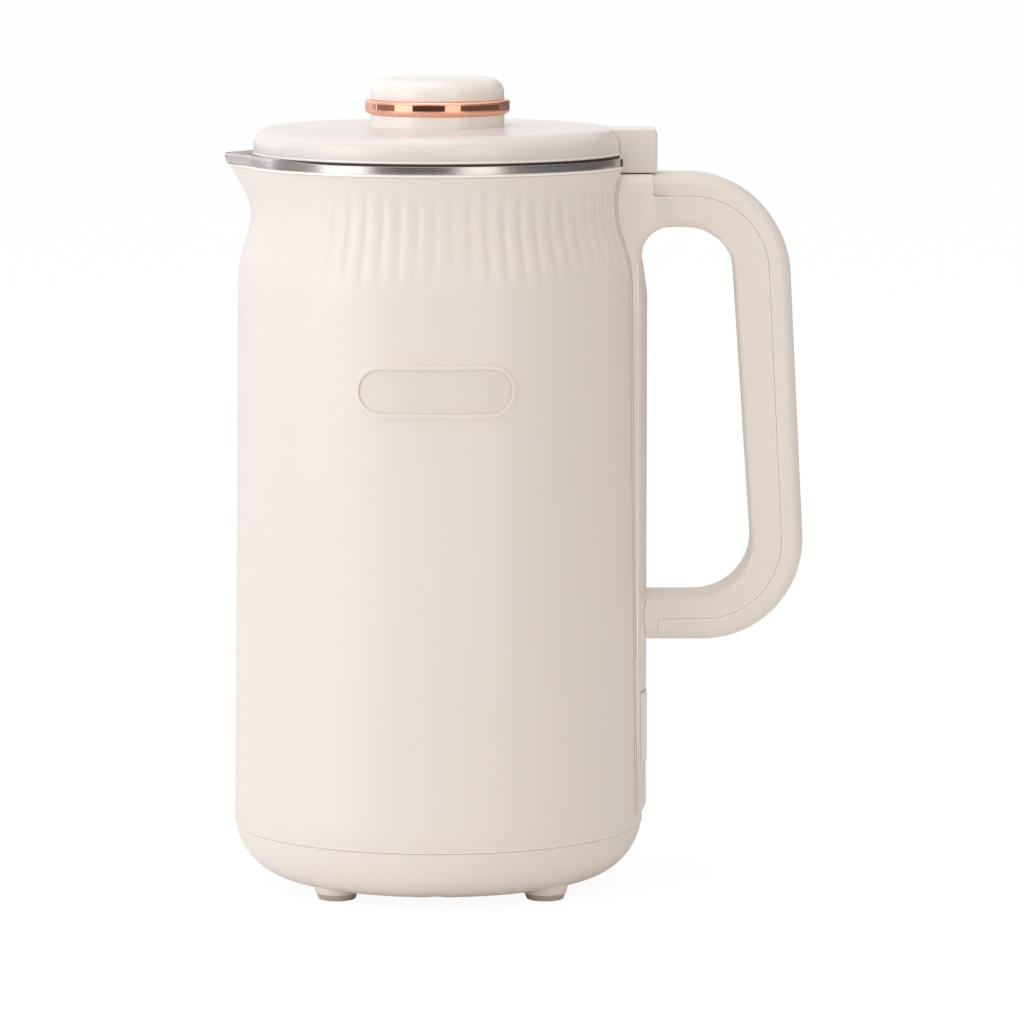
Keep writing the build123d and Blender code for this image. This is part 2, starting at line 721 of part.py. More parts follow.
with BuildPart() as housing:
    add(outer_turned)
    add(outer_spout)
    add(flute_tools, mode=Mode.SUBTRACT)
    add(inner_turned, mode=Mode.SUBTRACT)
    add(inner_spout, mode=Mode.SUBTRACT)
    add(ring(LEDGE_TOP - GASKET_LEDGE_THICKNESS, LEDGE_TOP, WAIST_RADIUS, cup_outer_radius + 2 * LOOSE_FIT))
    with BuildSketch(level(SEAM_HEIGHT)):
        with PolarLocations(BASE_SCREW_RADIUS, BASE_SCREW_COUNT):
            Circle(BASE_TOWER_WIDTH / 2)
    extrude(amount=BASE_BOSS_HEIGHT)
    with BuildSketch(level(SEAM_HEIGHT + SPIGOT_HEIGHT + SEAM_GAP)):
        with PolarLocations((BASE_SCREW_RADIUS + lining_radius) / 2, BASE_SCREW_COUNT):
            Rectangle(lining_radius - BASE_SCREW_RADIUS, BASE_RIB_THICKNESS)
    extrude(amount=BASE_BOSS_HEIGHT - SPIGOT_HEIGHT - SEAM_GAP)
    add(
        columns(
            BASE_SCREW_RADIUS,
            BASE_SCREW_COUNT,
            BASE_SCREW_WIDTH / 2 + RUNNING_FIT,
            SEAM_HEIGHT,
            SEAM_HEIGHT + BASE_SCREW_GRIP + CUT_OVERRUN,
        ),
        mode=Mode.SUBTRACT,
    )
    add(badge_pocket.part, mode=Mode.SUBTRACT)
    add(panel_column(0), mode=Mode.SUBTRACT)
    add(rim_notch.part, mode=Mode.SUBTRACT)
    add(
        inlet_block(
            INLET_BODY_WIDTH + 2 * LOOSE_FIT,
            INLET_BODY_HEIGHT + 2 * LOOSE_FIT,
            INLET_FACE_REACH - INLET_DEPTH,
            SEAM_RADIUS + CUT_OVERRUN,
        ),
        mode=Mode.SUBTRACT,
    )
    add(
        inlet_block(
            INLET_FLANGE_WIDTH + 2 * LOOSE_FIT,
            INLET_FLANGE_HEIGHT + 2 * LOOSE_FIT,
            inlet_near,
            SEAM_RADIUS + CUT_OVERRUN,
        ),
        mode=Mode.SUBTRACT,
    )
    add(
        rods(upper_screw_places, handle_screw_hole, WAIST_RADIUS - HOUSING_WALL, SEAM_RADIUS),
        mode=Mode.SUBTRACT,
    )
    add(
        rods(lower_screw_places, handle_screw_hole, WAIST_RADIUS, STRIP_CREST),
        mode=Mode.SUBTRACT,
    )
keep(housing.part, "outer_housing")

# Badge: a raised frame round a bare plate, both curved with the body
badge_opening_width = BADGE_WIDTH - 2 * BADGE_FRAME_WIDTH
badge_opening_depth = BADGE_DEPTH - 2 * BADGE_FRAME_WIDTH
with BuildPart() as badge_frame:
    add(badge_column(BADGE_WIDTH - 2 * LOOSE_FIT, BADGE_DEPTH - 2 * LOOSE_FIT))
    add(badge_column(badge_opening_width, badge_opening_depth), mode=Mode.SUBTRACT)
    add(turned_volume(-BADGE_FRAME_RISE), mode=Mode.INTERSECT)
    add(badge_floor, mode=Mode.SUBTRACT)
keep(badge_frame.part, "badge_frame")

with BuildPart() as badge_plate:
    add(badge_column(badge_opening_width - 2 * LOOSE_FIT, badge_opening_depth - 2 * LOOSE_FIT))
    add(turned_volume(-BADGE_PLATE_RISE), mode=Mode.INTERSECT)
    add(badge_floor, mode=Mode.SUBTRACT)
keep(badge_plate.part, "badge_plate")

# Touch panel in its window, and the board behind it on four posts
with BuildPart() as touch_panel:
    add(panel_column(LOOSE_FIT))
    add(outer_turned, mode=Mode.INTERSECT)
    add(inner_turned, mode=Mode.SUBTRACT)
keep(touch_panel.part, "touch_panel")

board_post_gap = BOARD_WIDTH - 2 * BOARD_POST_WIDTH
board_post_span = BOARD_LENGTH - 2 * BOARD_POST_WIDTH
with BuildPart() as control_board:
    with BuildSketch(facing_side(BOARD_REACH)):
        with Locations((0, PANEL_HEIGHT)):
            Rectangle(BOARD_WIDTH, BOARD_LENGTH)
    extrude(amount=BOARD_THICKNESS)
    with BuildSketch(facing_side(BOARD_REACH)):
        with Locations((0, PANEL_HEIGHT)):
            with GridLocations(board_post_gap, board_post_span, 2, 2):
                Circle(BOARD_POST_WIDTH / 2)
    extrude(amount=SEAM_RADIUS - BOARD_REACH)
    add(inner_turned, mode=Mode.INTERSECT)
keep(control_board.part, "control_board")


def base_volume(inset):
    """The base cover's outer form, with its elliptical corner, drawn in by inset and filled"""
    corner_reach = SEAM_RADIUS - BASE_CORNER_WIDTH
    corner_height = BASE_BOTTOM + BASE_CORNER_HEIGHT
    rise = BASE_CORNER_HEIGHT - inset
    top = SEAM_HEIGHT - SEAM_GAP
    corner_sweep = degrees(acos((corner_height - top) / rise))
    with BuildPart() as volume:
        with BuildSketch(upright()):
            with BuildLine():
                floor = Line((0, BASE_BOTTOM + inset), (corner_reach, BASE_BOTTOM + inset))
                corner = EllipticalCenterArc(
                    (corner_reach, corner_height),
                    BASE_CORNER_WIDTH - inset,
                    rise,
                    start_angle=-90,
                    arc_size=corner_sweep,
                )
                Polyline(corner @ 1, (0, top), floor @ 0)
            make_face()
        revolve(axis=JUG_AXIS)
    return volume.part


# Base cover: a bowl with vents, foot bosses, screw towers, a spigot and guides for the power board
guide_gap = BOARD_THICKNESS + 2 * LOOSE_FIT
guide_place = (-POWER_BOARD_REACH - BOARD_THICKNESS / 2, 0)
screw_head_top = BASE_FLOOR + BASE_SCREW_HEAD_HEIGHT
with BuildPart() as base_cover:
    add(base_volume(0))
    add(base_volume(BASE_WALL), mode=Mode.SUBTRACT)
    add(
        ring(
            SEAM_HEIGHT - SEAM_GAP - SPIGOT_HEIGHT,
            SEAM_HEIGHT + SPIGOT_HEIGHT,
            lining_radius - LOOSE_FIT,
            lining_radius - LOOSE_FIT - SPIGOT_WALL,
        )
    )
    add(columns(BASE_SCREW_RADIUS, BASE_SCREW_COUNT, BASE_TOWER_WIDTH / 2, BASE_FLOOR, SEAM_HEIGHT))
    with Locations(foot_level(FOOT_PAD_HEIGHT)):
        with GridLocations(2 * FOOT_OFFSET_X, 2 * FOOT_OFFSET_Y, 2, 2):
            Cone(
                FOOT_BOSS_WIDTH / 2 - FOOT_BOSS_TAPER,
                FOOT_BOSS_WIDTH / 2,
                BASE_FLOOR - FOOT_PAD_HEIGHT,
                align=(Align.CENTER, Align.CENTER, Align.MIN),
            )
    with BuildSketch(level(BASE_FLOOR)):
        with Locations(guide_place):
            with GridLocations(0, POWER_BOARD_WIDTH - GUIDE_THICKNESS, 1, 2):
                Rectangle(GUIDE_DEPTH, GUIDE_THICKNESS)
            Rectangle(guide_gap, POWER_BOARD_WIDTH + 2 * GUIDE_THICKNESS, mode=Mode.SUBTRACT)
    extrude(amount=GUIDE_HEIGHT)
    with BuildSketch(foot_level(FOOT_PAD_HEIGHT)):
        with GridLocations(2 * FOOT_OFFSET_X, 2 * FOOT_OFFSET_Y, 2, 2):
            Circle(FOOT_PIN_WIDTH / 2 + RUNNING_FIT)
    extrude(amount=FOOT_PIN_LENGTH, mode=Mode.SUBTRACT)
    with BuildSketch(level(BASE_BOTTOM - CUT_OVERRUN)):
        with PolarLocations((VENT_INNER_RADIUS + VENT_OUTER_RADIUS) / 2, VENT_COUNT):
            SlotOverall(VENT_OUTER_RADIUS - VENT_INNER_RADIUS, VENT_WIDTH)
    extrude(amount=BASE_WALL + 2 * CUT_OVERRUN, mode=Mode.SUBTRACT)
    with BuildSketch(level(BASE_BOTTOM - CUT_OVERRUN)):
        with PolarLocations(BASE_SCREW_RADIUS, BASE_SCREW_COUNT):
            Circle(BASE_SCREW_HEAD_WIDTH / 2 + LOOSE_FIT)
    extrude(amount=screw_head_top - BASE_BOTTOM + CUT_OVERRUN, mode=Mode.SUBTRACT)
    with BuildSketch(level(BASE_FLOOR)):
        with PolarLocations(BASE_SCREW_RADIUS, BASE_SCREW_COUNT):
            Circle(BASE_SCREW_WIDTH / 2 + LOOSE_FIT)
    extrude(amount=SEAM_HEIGHT - BASE_FLOOR, mode=Mode.SUBTRACT)
keep(base_cover.part, "base_cover")

with BuildPart() as base_screws:
    add(columns(BASE_SCREW_RADIUS, BASE_SCREW_COUNT, BASE_SCREW_HEAD_WIDTH / 2, BASE_FLOOR, screw_head_top))
    add(
        columns(
            BASE_SCREW_RADIUS,
            BASE_SCREW_COUNT,
            BASE_SCREW_WIDTH / 2,
            screw_head_top,
            SEAM_HEIGHT + BASE_SCREW_GRIP,
        )
    )
keep(base_screws.part, "base_screws")

# Rubber foot pads, each with a pin that holds it in its boss
foot_places = [(1, 1), (-1, 1), (-1, -1), (1, -1)]
for number, (side_x, side_y) in enumerate(foot_places, start=1):
    foot_plane = Plane((AXIS_X + FOOT_SHIFT + side_x * FOOT_OFFSET_X, side_y * FOOT_OFFSET_Y, 0))
    with BuildPart() as foot_pad:
        with BuildSketch(foot_plane):
            Circle(FOOT_PAD_WIDTH / 2 - FOOT_PAD_TAPER)
        with BuildSketch(foot_plane.offset(FOOT_PAD_HEIGHT)):
            Circle(FOOT_PAD_WIDTH / 2)
        loft()
        with BuildSketch(foot_plane.offset(FOOT_PAD_HEIGHT)):
            Circle(FOOT_PIN_WIDTH / 2)
        extrude(amount=FOOT_PIN_LENGTH - LOOSE_FIT)
    keep(foot_pad.part, f"foot_pad_{number}")

# Steel cup: deep-drawn, with a round corner, a flange at the top and a hole for the shaft seal
with BuildPart() as cup:
    with BuildSketch(upright()):
        with BuildLine():
            FilletPolyline(
                (0, CUP_UNDERSIDE),
                (cup_outer_radius, CUP_UNDERSIDE),
                (cup_outer_radius, GASKET_TOP),
                (cup_flange_radius, GASKET_TOP),
                (cup_flange_radius, FLANGE_TOP),
                (CUP_RADIUS, FLANGE_TOP),
                (CUP_RADIUS, CUP_FLOOR),
                (0, CUP_FLOOR),
                radius=(CUP_CORNER_RADIUS + CUP_WALL, 0, 0, 0, 0, CUP_CORNER_RADIUS),
            )
            Line((0, CUP_FLOOR), (0, CUP_UNDERSIDE))
        make_face()
    revolve(axis=JUG_AXIS)
    add(
        ring(CUP_UNDERSIDE - CUT_OVERRUN, CUP_FLOOR + CUT_OVERRUN, SEAL_TUBE_WIDTH / 2 + RUNNING_FIT),
        mode=Mode.SUBTRACT,
    )
keep(cup.part, "inner_cup")

with BuildPart() as cup_gasket:
    add(ring(LEDGE_TOP, GASKET_TOP, cup_flange_radius, cup_outer_radius + 2 * LOOSE_FIT))
keep(cup_gasket.part, "cup_gasket")

# Steel rim: a stepped ring with the pouring lip, open at the back where the lid's tab drops in
rim_inner_radius = MOUTH_RADIUS - RIM_SHEET
rim_root_radius = MOUTH_RADIUS * SPOUT_ROOT_SHARE
rim_slant = (SPOUT_REACH - SHELL_SPOUT_REACH) / RIM_BAND
with BuildPart() as rim_lip:
    add(spout_outline(HOUSING_TOP, SHELL_SPOUT_REACH, SPOUT_TIP_RADIUS, rim_root_radius))
    add(spout_outline(RIM_TOP, SPOUT_REACH, SPOUT_TIP_RADIUS, rim_root_radius))
    loft(ruled=True)

lip_inside = SHELL_SPOUT_REACH - RIM_SHEET
lip_inside_radius = SPOUT_TIP_RADIUS - RIM_SHEET
with BuildPart() as rim_channel:
    add(
        spout_outline(
            RIM_LEDGE, lip_inside + rim_slant * RIM_SHEET, lip_inside_radius, rim_root_radius - RIM_SHEET
        )
    )
    add(
        spout_outline(
            RIM_TOP + CUT_OVERRUN,
            lip_inside + rim_slant * (RIM_BAND + CUT_OVERRUN),
            lip_inside_radius,
            rim_root_radius - RIM_SHEET,
        )
    )
    loft(ruled=True)

with BuildPart() as tab_opening:
    add(upright_block(0, MOUTH_RADIUS + CUT_OVERRUN, RIM_NOTCH_WIDTH, HANDLE_TOP, RIM_TOP + CUT_OVERRUN))
    add(ring(FLANGE_TOP - CUT_OVERRUN, RIM_TOP + 2 * CUT_OVERRUN, cup_flange_radius), mode=Mode.SUBTRACT)

with BuildPart() as spout_rim:
    add(ring(FLANGE_TOP, HOUSING_TOP, cup_flange_radius))
    add(ring(HOUSING_TOP, RIM_TOP, MOUTH_RADIUS))
    add(rim_lip.part)
    add(rim_channel.part, mode=Mode.SUBTRACT)
    add(ring(RIM_LEDGE, RIM_TOP + CUT_OVERRUN, rim_inner_radius), mode=Mode.SUBTRACT)
    add(ring(FLANGE_TOP - CUT_OVERRUN, RIM_TOP, CUP_RADIUS), mode=Mode.SUBTRACT)
    add(tab_opening.part, mode=Mode.SUBTRACT)
keep(spout_rim.part, "spout_rim")

# Handle: one moulding holds the back strip, the root and the loop's inner half, a second covers the loop
with BuildPart() as loop:
    add(handle_slab(0))
    loop_sides = loop.faces().filter_by(Axis.Y)
    loop_edges = loop_sides.edges().filter_by(
        lambda edge: edge.center().X > AXIS_X + HANDLE_INSIDE_REACH + RUNNING_FIT
    )
    fillet(loop_edges, radius=HANDLE_EDGE)

with BuildPart() as loop_hollow:
    add(handle_slab(HANDLE_WALL))
    add(upright_block(0, CAVITY_REACH, STRIP_WIDTH, HANDLE_BOTTOM, HANDLE_TOP), mode=Mode.SUBTRACT)

with BuildPart() as root_plan:
    with BuildSketch(level(HANDLE_TOP - ROOT_FOOT_DROP)):
        with BuildLine():
            far_edge = Spline(
                (ROOT_FULL_WIDTH_REACH, STRIP_WIDTH / 2),
                (ROOT_END_REACH, HANDLE_WIDTH / 2),
                tangents=((1, 0), (1, 0)),
            )
            mirror(far_edge, about=Plane.XZ)
            Polyline(
                (ROOT_FULL_WIDTH_REACH, STRIP_WIDTH / 2),
                (0, STRIP_WIDTH / 2),
                (0, -STRIP_WIDTH / 2),
                (ROOT_FULL_WIDTH_REACH, -STRIP_WIDTH / 2),
            )
            Line((ROOT_END_REACH, HANDLE_WIDTH / 2), (ROOT_END_REACH, -HANDLE_WIDTH / 2))
        make_face()
    extrude(amount=ROOT_FOOT_DROP)

with BuildPart() as root:
    with BuildSketch(upright().offset(-STRIP_WIDTH / 2)):
        with BuildLine():
            FilletPolyline(
                (0, HANDLE_TOP),
                (ROOT_END_REACH, HANDLE_TOP),
                (ROOT_END_REACH, UPPER_UNDERSIDE),
                (STRIP_THROAT_REACH, UPPER_UNDERSIDE),
                (STRIP_THROAT_REACH, HANDLE_TOP - ROOT_FOOT_DROP),
                (0, HANDLE_TOP - ROOT_FOOT_DROP),
                radius=(0, 0, 0, ROOT_BLEND, 0, 0),
                close=True,
            )
        make_face()
    extrude(amount=STRIP_WIDTH)
    add(root_plan.part, mode=Mode.INTERSECT)
    root_side_edges = root.edges().filter_by(
        lambda edge: edge.center().X > AXIS_X + STRIP_THROAT_REACH / 2
        and abs(edge.center().Y) > HANDLE_WIDTH / 2 - HANDLE_EDGE
        and edge.center().X < AXIS_X + ROOT_END_REACH - RUNNING_FIT
        and edge.center().Z > UPPER_UNDERSIDE - ROOT_BLEND
    )
    fillet(root_side_edges, radius=HANDLE_EDGE)

with BuildPart() as strip:
    with BuildSketch(level(SEAM_HEIGHT + STRIP_START)):
        with Locations((STRIP_CREST - STRIP_CURVE, 0)):
            Circle(STRIP_CURVE)
        with Locations((STRIP_CREST / 2, 0)):
            Rectangle(STRIP_CREST, STRIP_WIDTH, mode=Mode.INTERSECT)
    extrude(amount=HANDLE_TOP - ROOT_FOOT_DROP + ROOT_BLEND - SEAM_HEIGHT - STRIP_START)
    with BuildSketch(upright().offset(-STRIP_WIDTH / 2)):
        with BuildLine():
            Polyline(
                (0, SEAM_HEIGHT + STRIP_START),
                (STRIP_CREST - STRIP_CHAMFER, SEAM_HEIGHT + STRIP_START),
                (STRIP_CREST, SEAM_HEIGHT + STRIP_START + STRIP_CHAMFER),
                (STRIP_CREST, HANDLE_TOP - STRIP_BEND_DROP),
                (STRIP_THROAT_REACH, UPPER_UNDERSIDE - ROOT_BLEND),
                (0, UPPER_UNDERSIDE - ROOT_BLEND),
                close=True,
            )
        make_face()
    extrude(amount=STRIP_WIDTH, mode=Mode.INTERSECT)

# Tongue inside each side wall of the handle, which reaches past the parting line into its cover
hollow_width = HANDLE_WIDTH - 2 * HANDLE_WALL
tongue_start = CAVITY_REACH + LOOSE_FIT
with BuildPart() as tongue_play:
    add(cover_field(0))
    add(
        upright_block(0, 2 * HANDLE_REACH, hollow_width - 2 * LOOSE_FIT, 0, 2 * HANDLE_TOP),
        mode=Mode.SUBTRACT,
    )

with BuildPart() as tongue:
    add(cover_field(-TONGUE_ROOT))
    add(cover_field(SEAM_GAP + TONGUE_REACH), mode=Mode.SUBTRACT)
    add(
        upright_block(tongue_start, HANDLE_REACH, hollow_width, HANDLE_BOTTOM, HANDLE_TOP),
        mode=Mode.INTERSECT,
    )
    add(
        upright_block(0, 2 * HANDLE_REACH, hollow_width - 2 * TONGUE_THICKNESS, 0, 2 * HANDLE_TOP),
        mode=Mode.SUBTRACT,
    )
    add(tongue_play.part, mode=Mode.SUBTRACT)

switch_far = SWITCH_REACH + SWITCH_DEPTH / 2
with BuildPart() as handle_body:
    add(loop.part)
    add(cover_field(0), mode=Mode.SUBTRACT)
    add(root.part)
    add(strip.part)
    add(cover_field(0), mode=Mode.SUBTRACT)
    add(loop_hollow.part, mode=Mode.SUBTRACT)
    add(tongue.part)
    add(outer_turned, mode=Mode.SUBTRACT)
    add(
        upright_block(
            WAIST_RADIUS - HOUSING_WALL,
            switch_far + LOOSE_FIT,
            SWITCH_WIDTH + 2 * LOOSE_FIT,
            SWITCH_BOTTOM - SWITCH_POCKET_FALL,
            SWITCH_TOP,
        ),
        mode=Mode.SUBTRACT,
    )
    with BuildSketch(level(SWITCH_TOP - CUT_OVERRUN)):
        with Locations((SWITCH_REACH, 0)):
            Circle(PLUNGER_WIDTH / 2 + LOOSE_FIT)
    extrude(amount=HANDLE_WALL + 2 * CUT_OVERRUN, mode=Mode.SUBTRACT)
    add(
        inlet_block(
            INLET_BODY_WIDTH + 2 * LOOSE_FIT,
            INLET_BODY_HEIGHT + 2 * LOOSE_FIT,
            INLET_FACE_REACH - INLET_DEPTH,
            STRIP_CREST + CUT_OVERRUN,
        ),
        mode=Mode.SUBTRACT,
    )
    add(
        inlet_block(
            INLET_FLANGE_WIDTH + 2 * LOOSE_FIT,
            INLET_FLANGE_HEIGHT + 2 * LOOSE_FIT,
            inlet_near,
            STRIP_CREST + CUT_OVERRUN,
        ),
        mode=Mode.SUBTRACT,
    )
    add(
        rods(upper_screw_places, handle_screw_pilot, WAIST_RADIUS, upper_shank_end + SEAM_GAP),
        mode=Mode.SUBTRACT,
    )
    add(
        rods(lower_screw_places, handle_screw_pilot, WAIST_RADIUS, lower_shank_end + SEAM_GAP),
        mode=Mode.SUBTRACT,
    )
keep(handle_body.part, "handle_body")

with BuildPart() as handle_cover:
    add(loop.part)
    add(cover_field(SEAM_GAP), mode=Mode.INTERSECT)
    add(loop_hollow.part, mode=Mode.SUBTRACT)
keep(handle_cover.part, "handle_cover")

handle_screw_head = HANDLE_SCREW_HEAD_WIDTH / 2
with BuildPart() as handle_screws:
    add(rods(upper_screw_places, HANDLE_SCREW_WIDTH / 2, upper_seat, upper_shank_end))
    add(rods(upper_screw_places, handle_screw_head, upper_seat - HANDLE_SCREW_HEAD_HEIGHT, upper_seat))
    add(rods(lower_screw_places, HANDLE_SCREW_WIDTH / 2, lower_seat, lower_shank_end))
    add(rods(lower_screw_places, handle_screw_head, lower_seat - HANDLE_SCREW_HEAD_HEIGHT, lower_seat))
keep(handle_screws.part, "handle_screws")

# Lid switch: a body in the root's pocket, with a plunger that the lid's tab holds down against a spring
chamber_radius = PLUNGER_COLLAR_WIDTH / 2 + LOOSE_FIT
collar_bottom = SWITCH_BOTTOM + SWITCH_WALL + SPRING_HEIGHT
plunger_top = TAB_BOTTOM - PLUNGER_STAND
with BuildPart() as lid_switch:
    with BuildSketch(level(SWITCH_BOTTOM)):
        with Locations((SWITCH_REACH, 0)):
            Rectangle(SWITCH_DEPTH, SWITCH_WIDTH)
    extrude(amount=SWITCH_BODY_HEIGHT)
    with BuildSketch(level(SWITCH_BOTTOM + SWITCH_WALL)):
        with Locations((SWITCH_REACH, 0)):
            Circle(chamber_radius)
    extrude(amount=SWITCH_BODY_HEIGHT - 2 * SWITCH_WALL, mode=Mode.SUBTRACT)
    with BuildSketch(level(SWITCH_TOP - SWITCH_WALL - CUT_OVERRUN)):
        with Locations((SWITCH_REACH, 0)):
            Circle(PLUNGER_WIDTH / 2 + RUNNING_FIT)
    extrude(amount=SWITCH_WALL + 2 * CUT_OVERRUN, mode=Mode.SUBTRACT)
keep(lid_switch.part, "lid_switch")

with BuildPart() as switch_plunger:
    with BuildSketch(level(collar_bottom)):
        with Locations((SWITCH_REACH, 0)):
            Circle(PLUNGER_COLLAR_WIDTH / 2)
    extrude(amount=PLUNGER_COLLAR_HEIGHT)
    with BuildSketch(level(collar_bottom)):
        with Locations((SWITCH_REACH, 0)):
            Circle(PLUNGER_WIDTH / 2)
    extrude(amount=plunger_top - collar_bottom)
keep(switch_plunger.part, "switch_plunger")

with BuildPart() as plunger_spring:
    with BuildSketch(level(SWITCH_BOTTOM + SWITCH_WALL)):
        with Locations((SWITCH_REACH, 0)):
            Circle(PLUNGER_WIDTH / 2 + SPRING_WALL)
            Circle(PLUNGER_WIDTH / 2, mode=Mode.SUBTRACT)
    extrude(amount=SPRING_HEIGHT - RUNNING_FIT)
keep(plunger_spring.part, "plunger_spring")

# Power inlet: flange, body and chamfered socket, with three flat pins and their tags
socket_bottom = INLET_FACE_REACH - INLET_SOCKET_DEPTH
socket_side = INLET_SOCKET_WIDTH / 2
socket_rise = INLET_SOCKET_HEIGHT / 2
pin_places = [(-PIN_SPACING / 2, -PIN_RISE), (0, PIN_RISE), (PIN_SPACING / 2, -PIN_RISE)]
with BuildPart() as power_inlet:
    add(inlet_block(INLET_FLANGE_WIDTH, INLET_FLANGE_HEIGHT, inlet_near, INLET_FACE_REACH))
    add(inlet_block(INLET_BODY_WIDTH, INLET_BODY_HEIGHT, INLET_FACE_REACH - INLET_DEPTH, inlet_near))
    with BuildSketch(facing_back(socket_bottom)):
        with BuildLine():
            Polyline(
                (-socket_side, INLET_HEIGHT - socket_rise),
                (socket_side, INLET_HEIGHT - socket_rise),
                (socket_side, INLET_HEIGHT + socket_rise - INLET_SOCKET_CHAMFER),
                (socket_side - INLET_SOCKET_CHAMFER, INLET_HEIGHT + socket_rise),
                (INLET_SOCKET_CHAMFER - socket_side, INLET_HEIGHT + socket_rise),
                (-socket_side, INLET_HEIGHT + socket_rise - INLET_SOCKET_CHAMFER),
                close=True,
            )
        make_face()
    extrude(amount=INLET_SOCKET_DEPTH + CUT_OVERRUN, mode=Mode.SUBTRACT)
    with BuildSketch(facing_back(INLET_FACE_REACH - INLET_DEPTH - CUT_OVERRUN)):
        with Locations((0, INLET_HEIGHT)):
            with Locations(pin_places):
                Rectangle(PIN_THICKNESS, PIN_HEIGHT)
    extrude(amount=INLET_DEPTH, mode=Mode.SUBTRACT)
keep(power_inlet.part, "power_inlet")

with BuildPart() as inlet_pins:
    with BuildSketch(facing_back(INLET_FACE_REACH - INLET_DEPTH - PIN_TAG_LENGTH)):
        with Locations((0, INLET_HEIGHT)):
            with Locations(pin_places):
                Rectangle(PIN_THICKNESS, PIN_HEIGHT)
    extrude(amount=PIN_TAG_LENGTH + INLET_DEPTH - INLET_SOCKET_DEPTH + PIN_LENGTH)
keep(inlet_pins.part, "inlet_pins")

# Lid: glossy shell over a liner that plugs the cup, with a seal and a tab that presses the switch
with BuildPart() as lid_shell:
    add(lid_volume(0))
    add(ring(LID_BOTTOM - CUT_OVERRUN, LID_EDGE_TOP - LID_WALL, LID_RADIUS - LID_WALL), mode=Mode.SUBTRACT)
    add(ring(LID_BOTTOM, LID_TOP + CUT_OVERRUN, KNOB_SCREW_WIDTH / 2 + RUNNING_FIT), mode=Mode.SUBTRACT)
keep(lid_shell.part, "lid_shell")

with BuildPart() as lid_liner:
    add(ring(RIM_LEDGE + SLIDE_GAP, LID_BOTTOM, LINER_FLANGE_RADIUS))
    add(ring(PLUG_BOTTOM, LID_BOTTOM, PLUG_RADIUS))
    plug_hollow = ring(PLUG_BOTTOM + PLUG_WALL, LID_BOTTOM + CUT_OVERRUN, PLUG_RADIUS - PLUG_WALL)
    add(plug_hollow, mode=Mode.SUBTRACT)
    add(
        ring(SEAL_BOTTOM, SEAL_BOTTOM + SEAL_HEIGHT, PLUG_RADIUS + CUT_OVERRUN, PLUG_RADIUS - SEAL_GROOVE),
        mode=Mode.SUBTRACT,
    )
    with BuildSketch(level(PLUG_BOTTOM - CUT_OVERRUN)):
        with Locations((-PROBE_OFFSET, 0)):
            Circle(PROBE_BUSH_WIDTH / 2 + RUNNING_FIT)
    extrude(amount=PLUG_WALL + 2 * CUT_OVERRUN, mode=Mode.SUBTRACT)
keep(lid_liner.part, "lid_liner")

with BuildPart() as lid_seal:
    add(ring(SEAL_BOTTOM, SEAL_BOTTOM + SEAL_HEIGHT, CUP_RADIUS - LOOSE_FIT, PLUG_RADIUS - SEAL_GROOVE))
    lid_seal_edges = lid_seal.edges().filter_by(GeomType.CIRCLE).sort_by(SortBy.RADIUS)[-2:]
    chamfer(lid_seal_edges, length=SEAL_GROOVE / 4)
keep(lid_seal.part, "lid_seal")

with BuildPart() as lid_tab:
    add(upright_block(LID_RADIUS - LID_SHOULDER, TAB_REACH, TAB_WIDTH, TAB_BOTTOM, TAB_TOP))
    tab_far = lid_tab.faces().sort_by(Axis.X)[-1]
    fillet(tab_far.edges(), radius=TAB_EDGE)
    add(lid_volume(0), mode=Mode.SUBTRACT)
    add(ring(TAB_BOTTOM - CUT_OVERRUN, LID_BOTTOM + LID_LIP, LID_RADIUS), mode=Mode.SUBTRACT)
keep(lid_tab.part, "lid_tab")

# Knob: collar, chamfered metal ring and domed cap, pulled together by one screw from inside the lid
with BuildPart() as knob_collar:
    add(ring(LID_EDGE_TOP - LID_DOME, COLLAR_TOP, KNOB_COLLAR_RADIUS))
    add(lid_volume(0), mode=Mode.SUBTRACT)
    add(ring(LID_BOTTOM, COLLAR_TOP + CUT_OVERRUN, KNOB_SCREW_WIDTH / 2 + RUNNING_FIT), mode=Mode.SUBTRACT)
keep(knob_collar.part, "knob_collar")

with BuildPart() as knob_ring:
    with BuildSketch(upright()):
        with BuildLine():
            Polyline(
                (KNOB_RING_BORE, COLLAR_TOP),
                (KNOB_RING_RADIUS - KNOB_RING_CHAMFER, COLLAR_TOP),
                (KNOB_RING_RADIUS, COLLAR_TOP + KNOB_RING_CHAMFER),
                (KNOB_RING_RADIUS, RING_TOP - KNOB_RING_CHAMFER),
                (KNOB_RING_RADIUS - KNOB_RING_CHAMFER, RING_TOP),
                (KNOB_RING_BORE, RING_TOP),
                close=True,
            )
        make_face()
    revolve(axis=JUG_AXIS)
keep(knob_ring.part, "knob_ring")

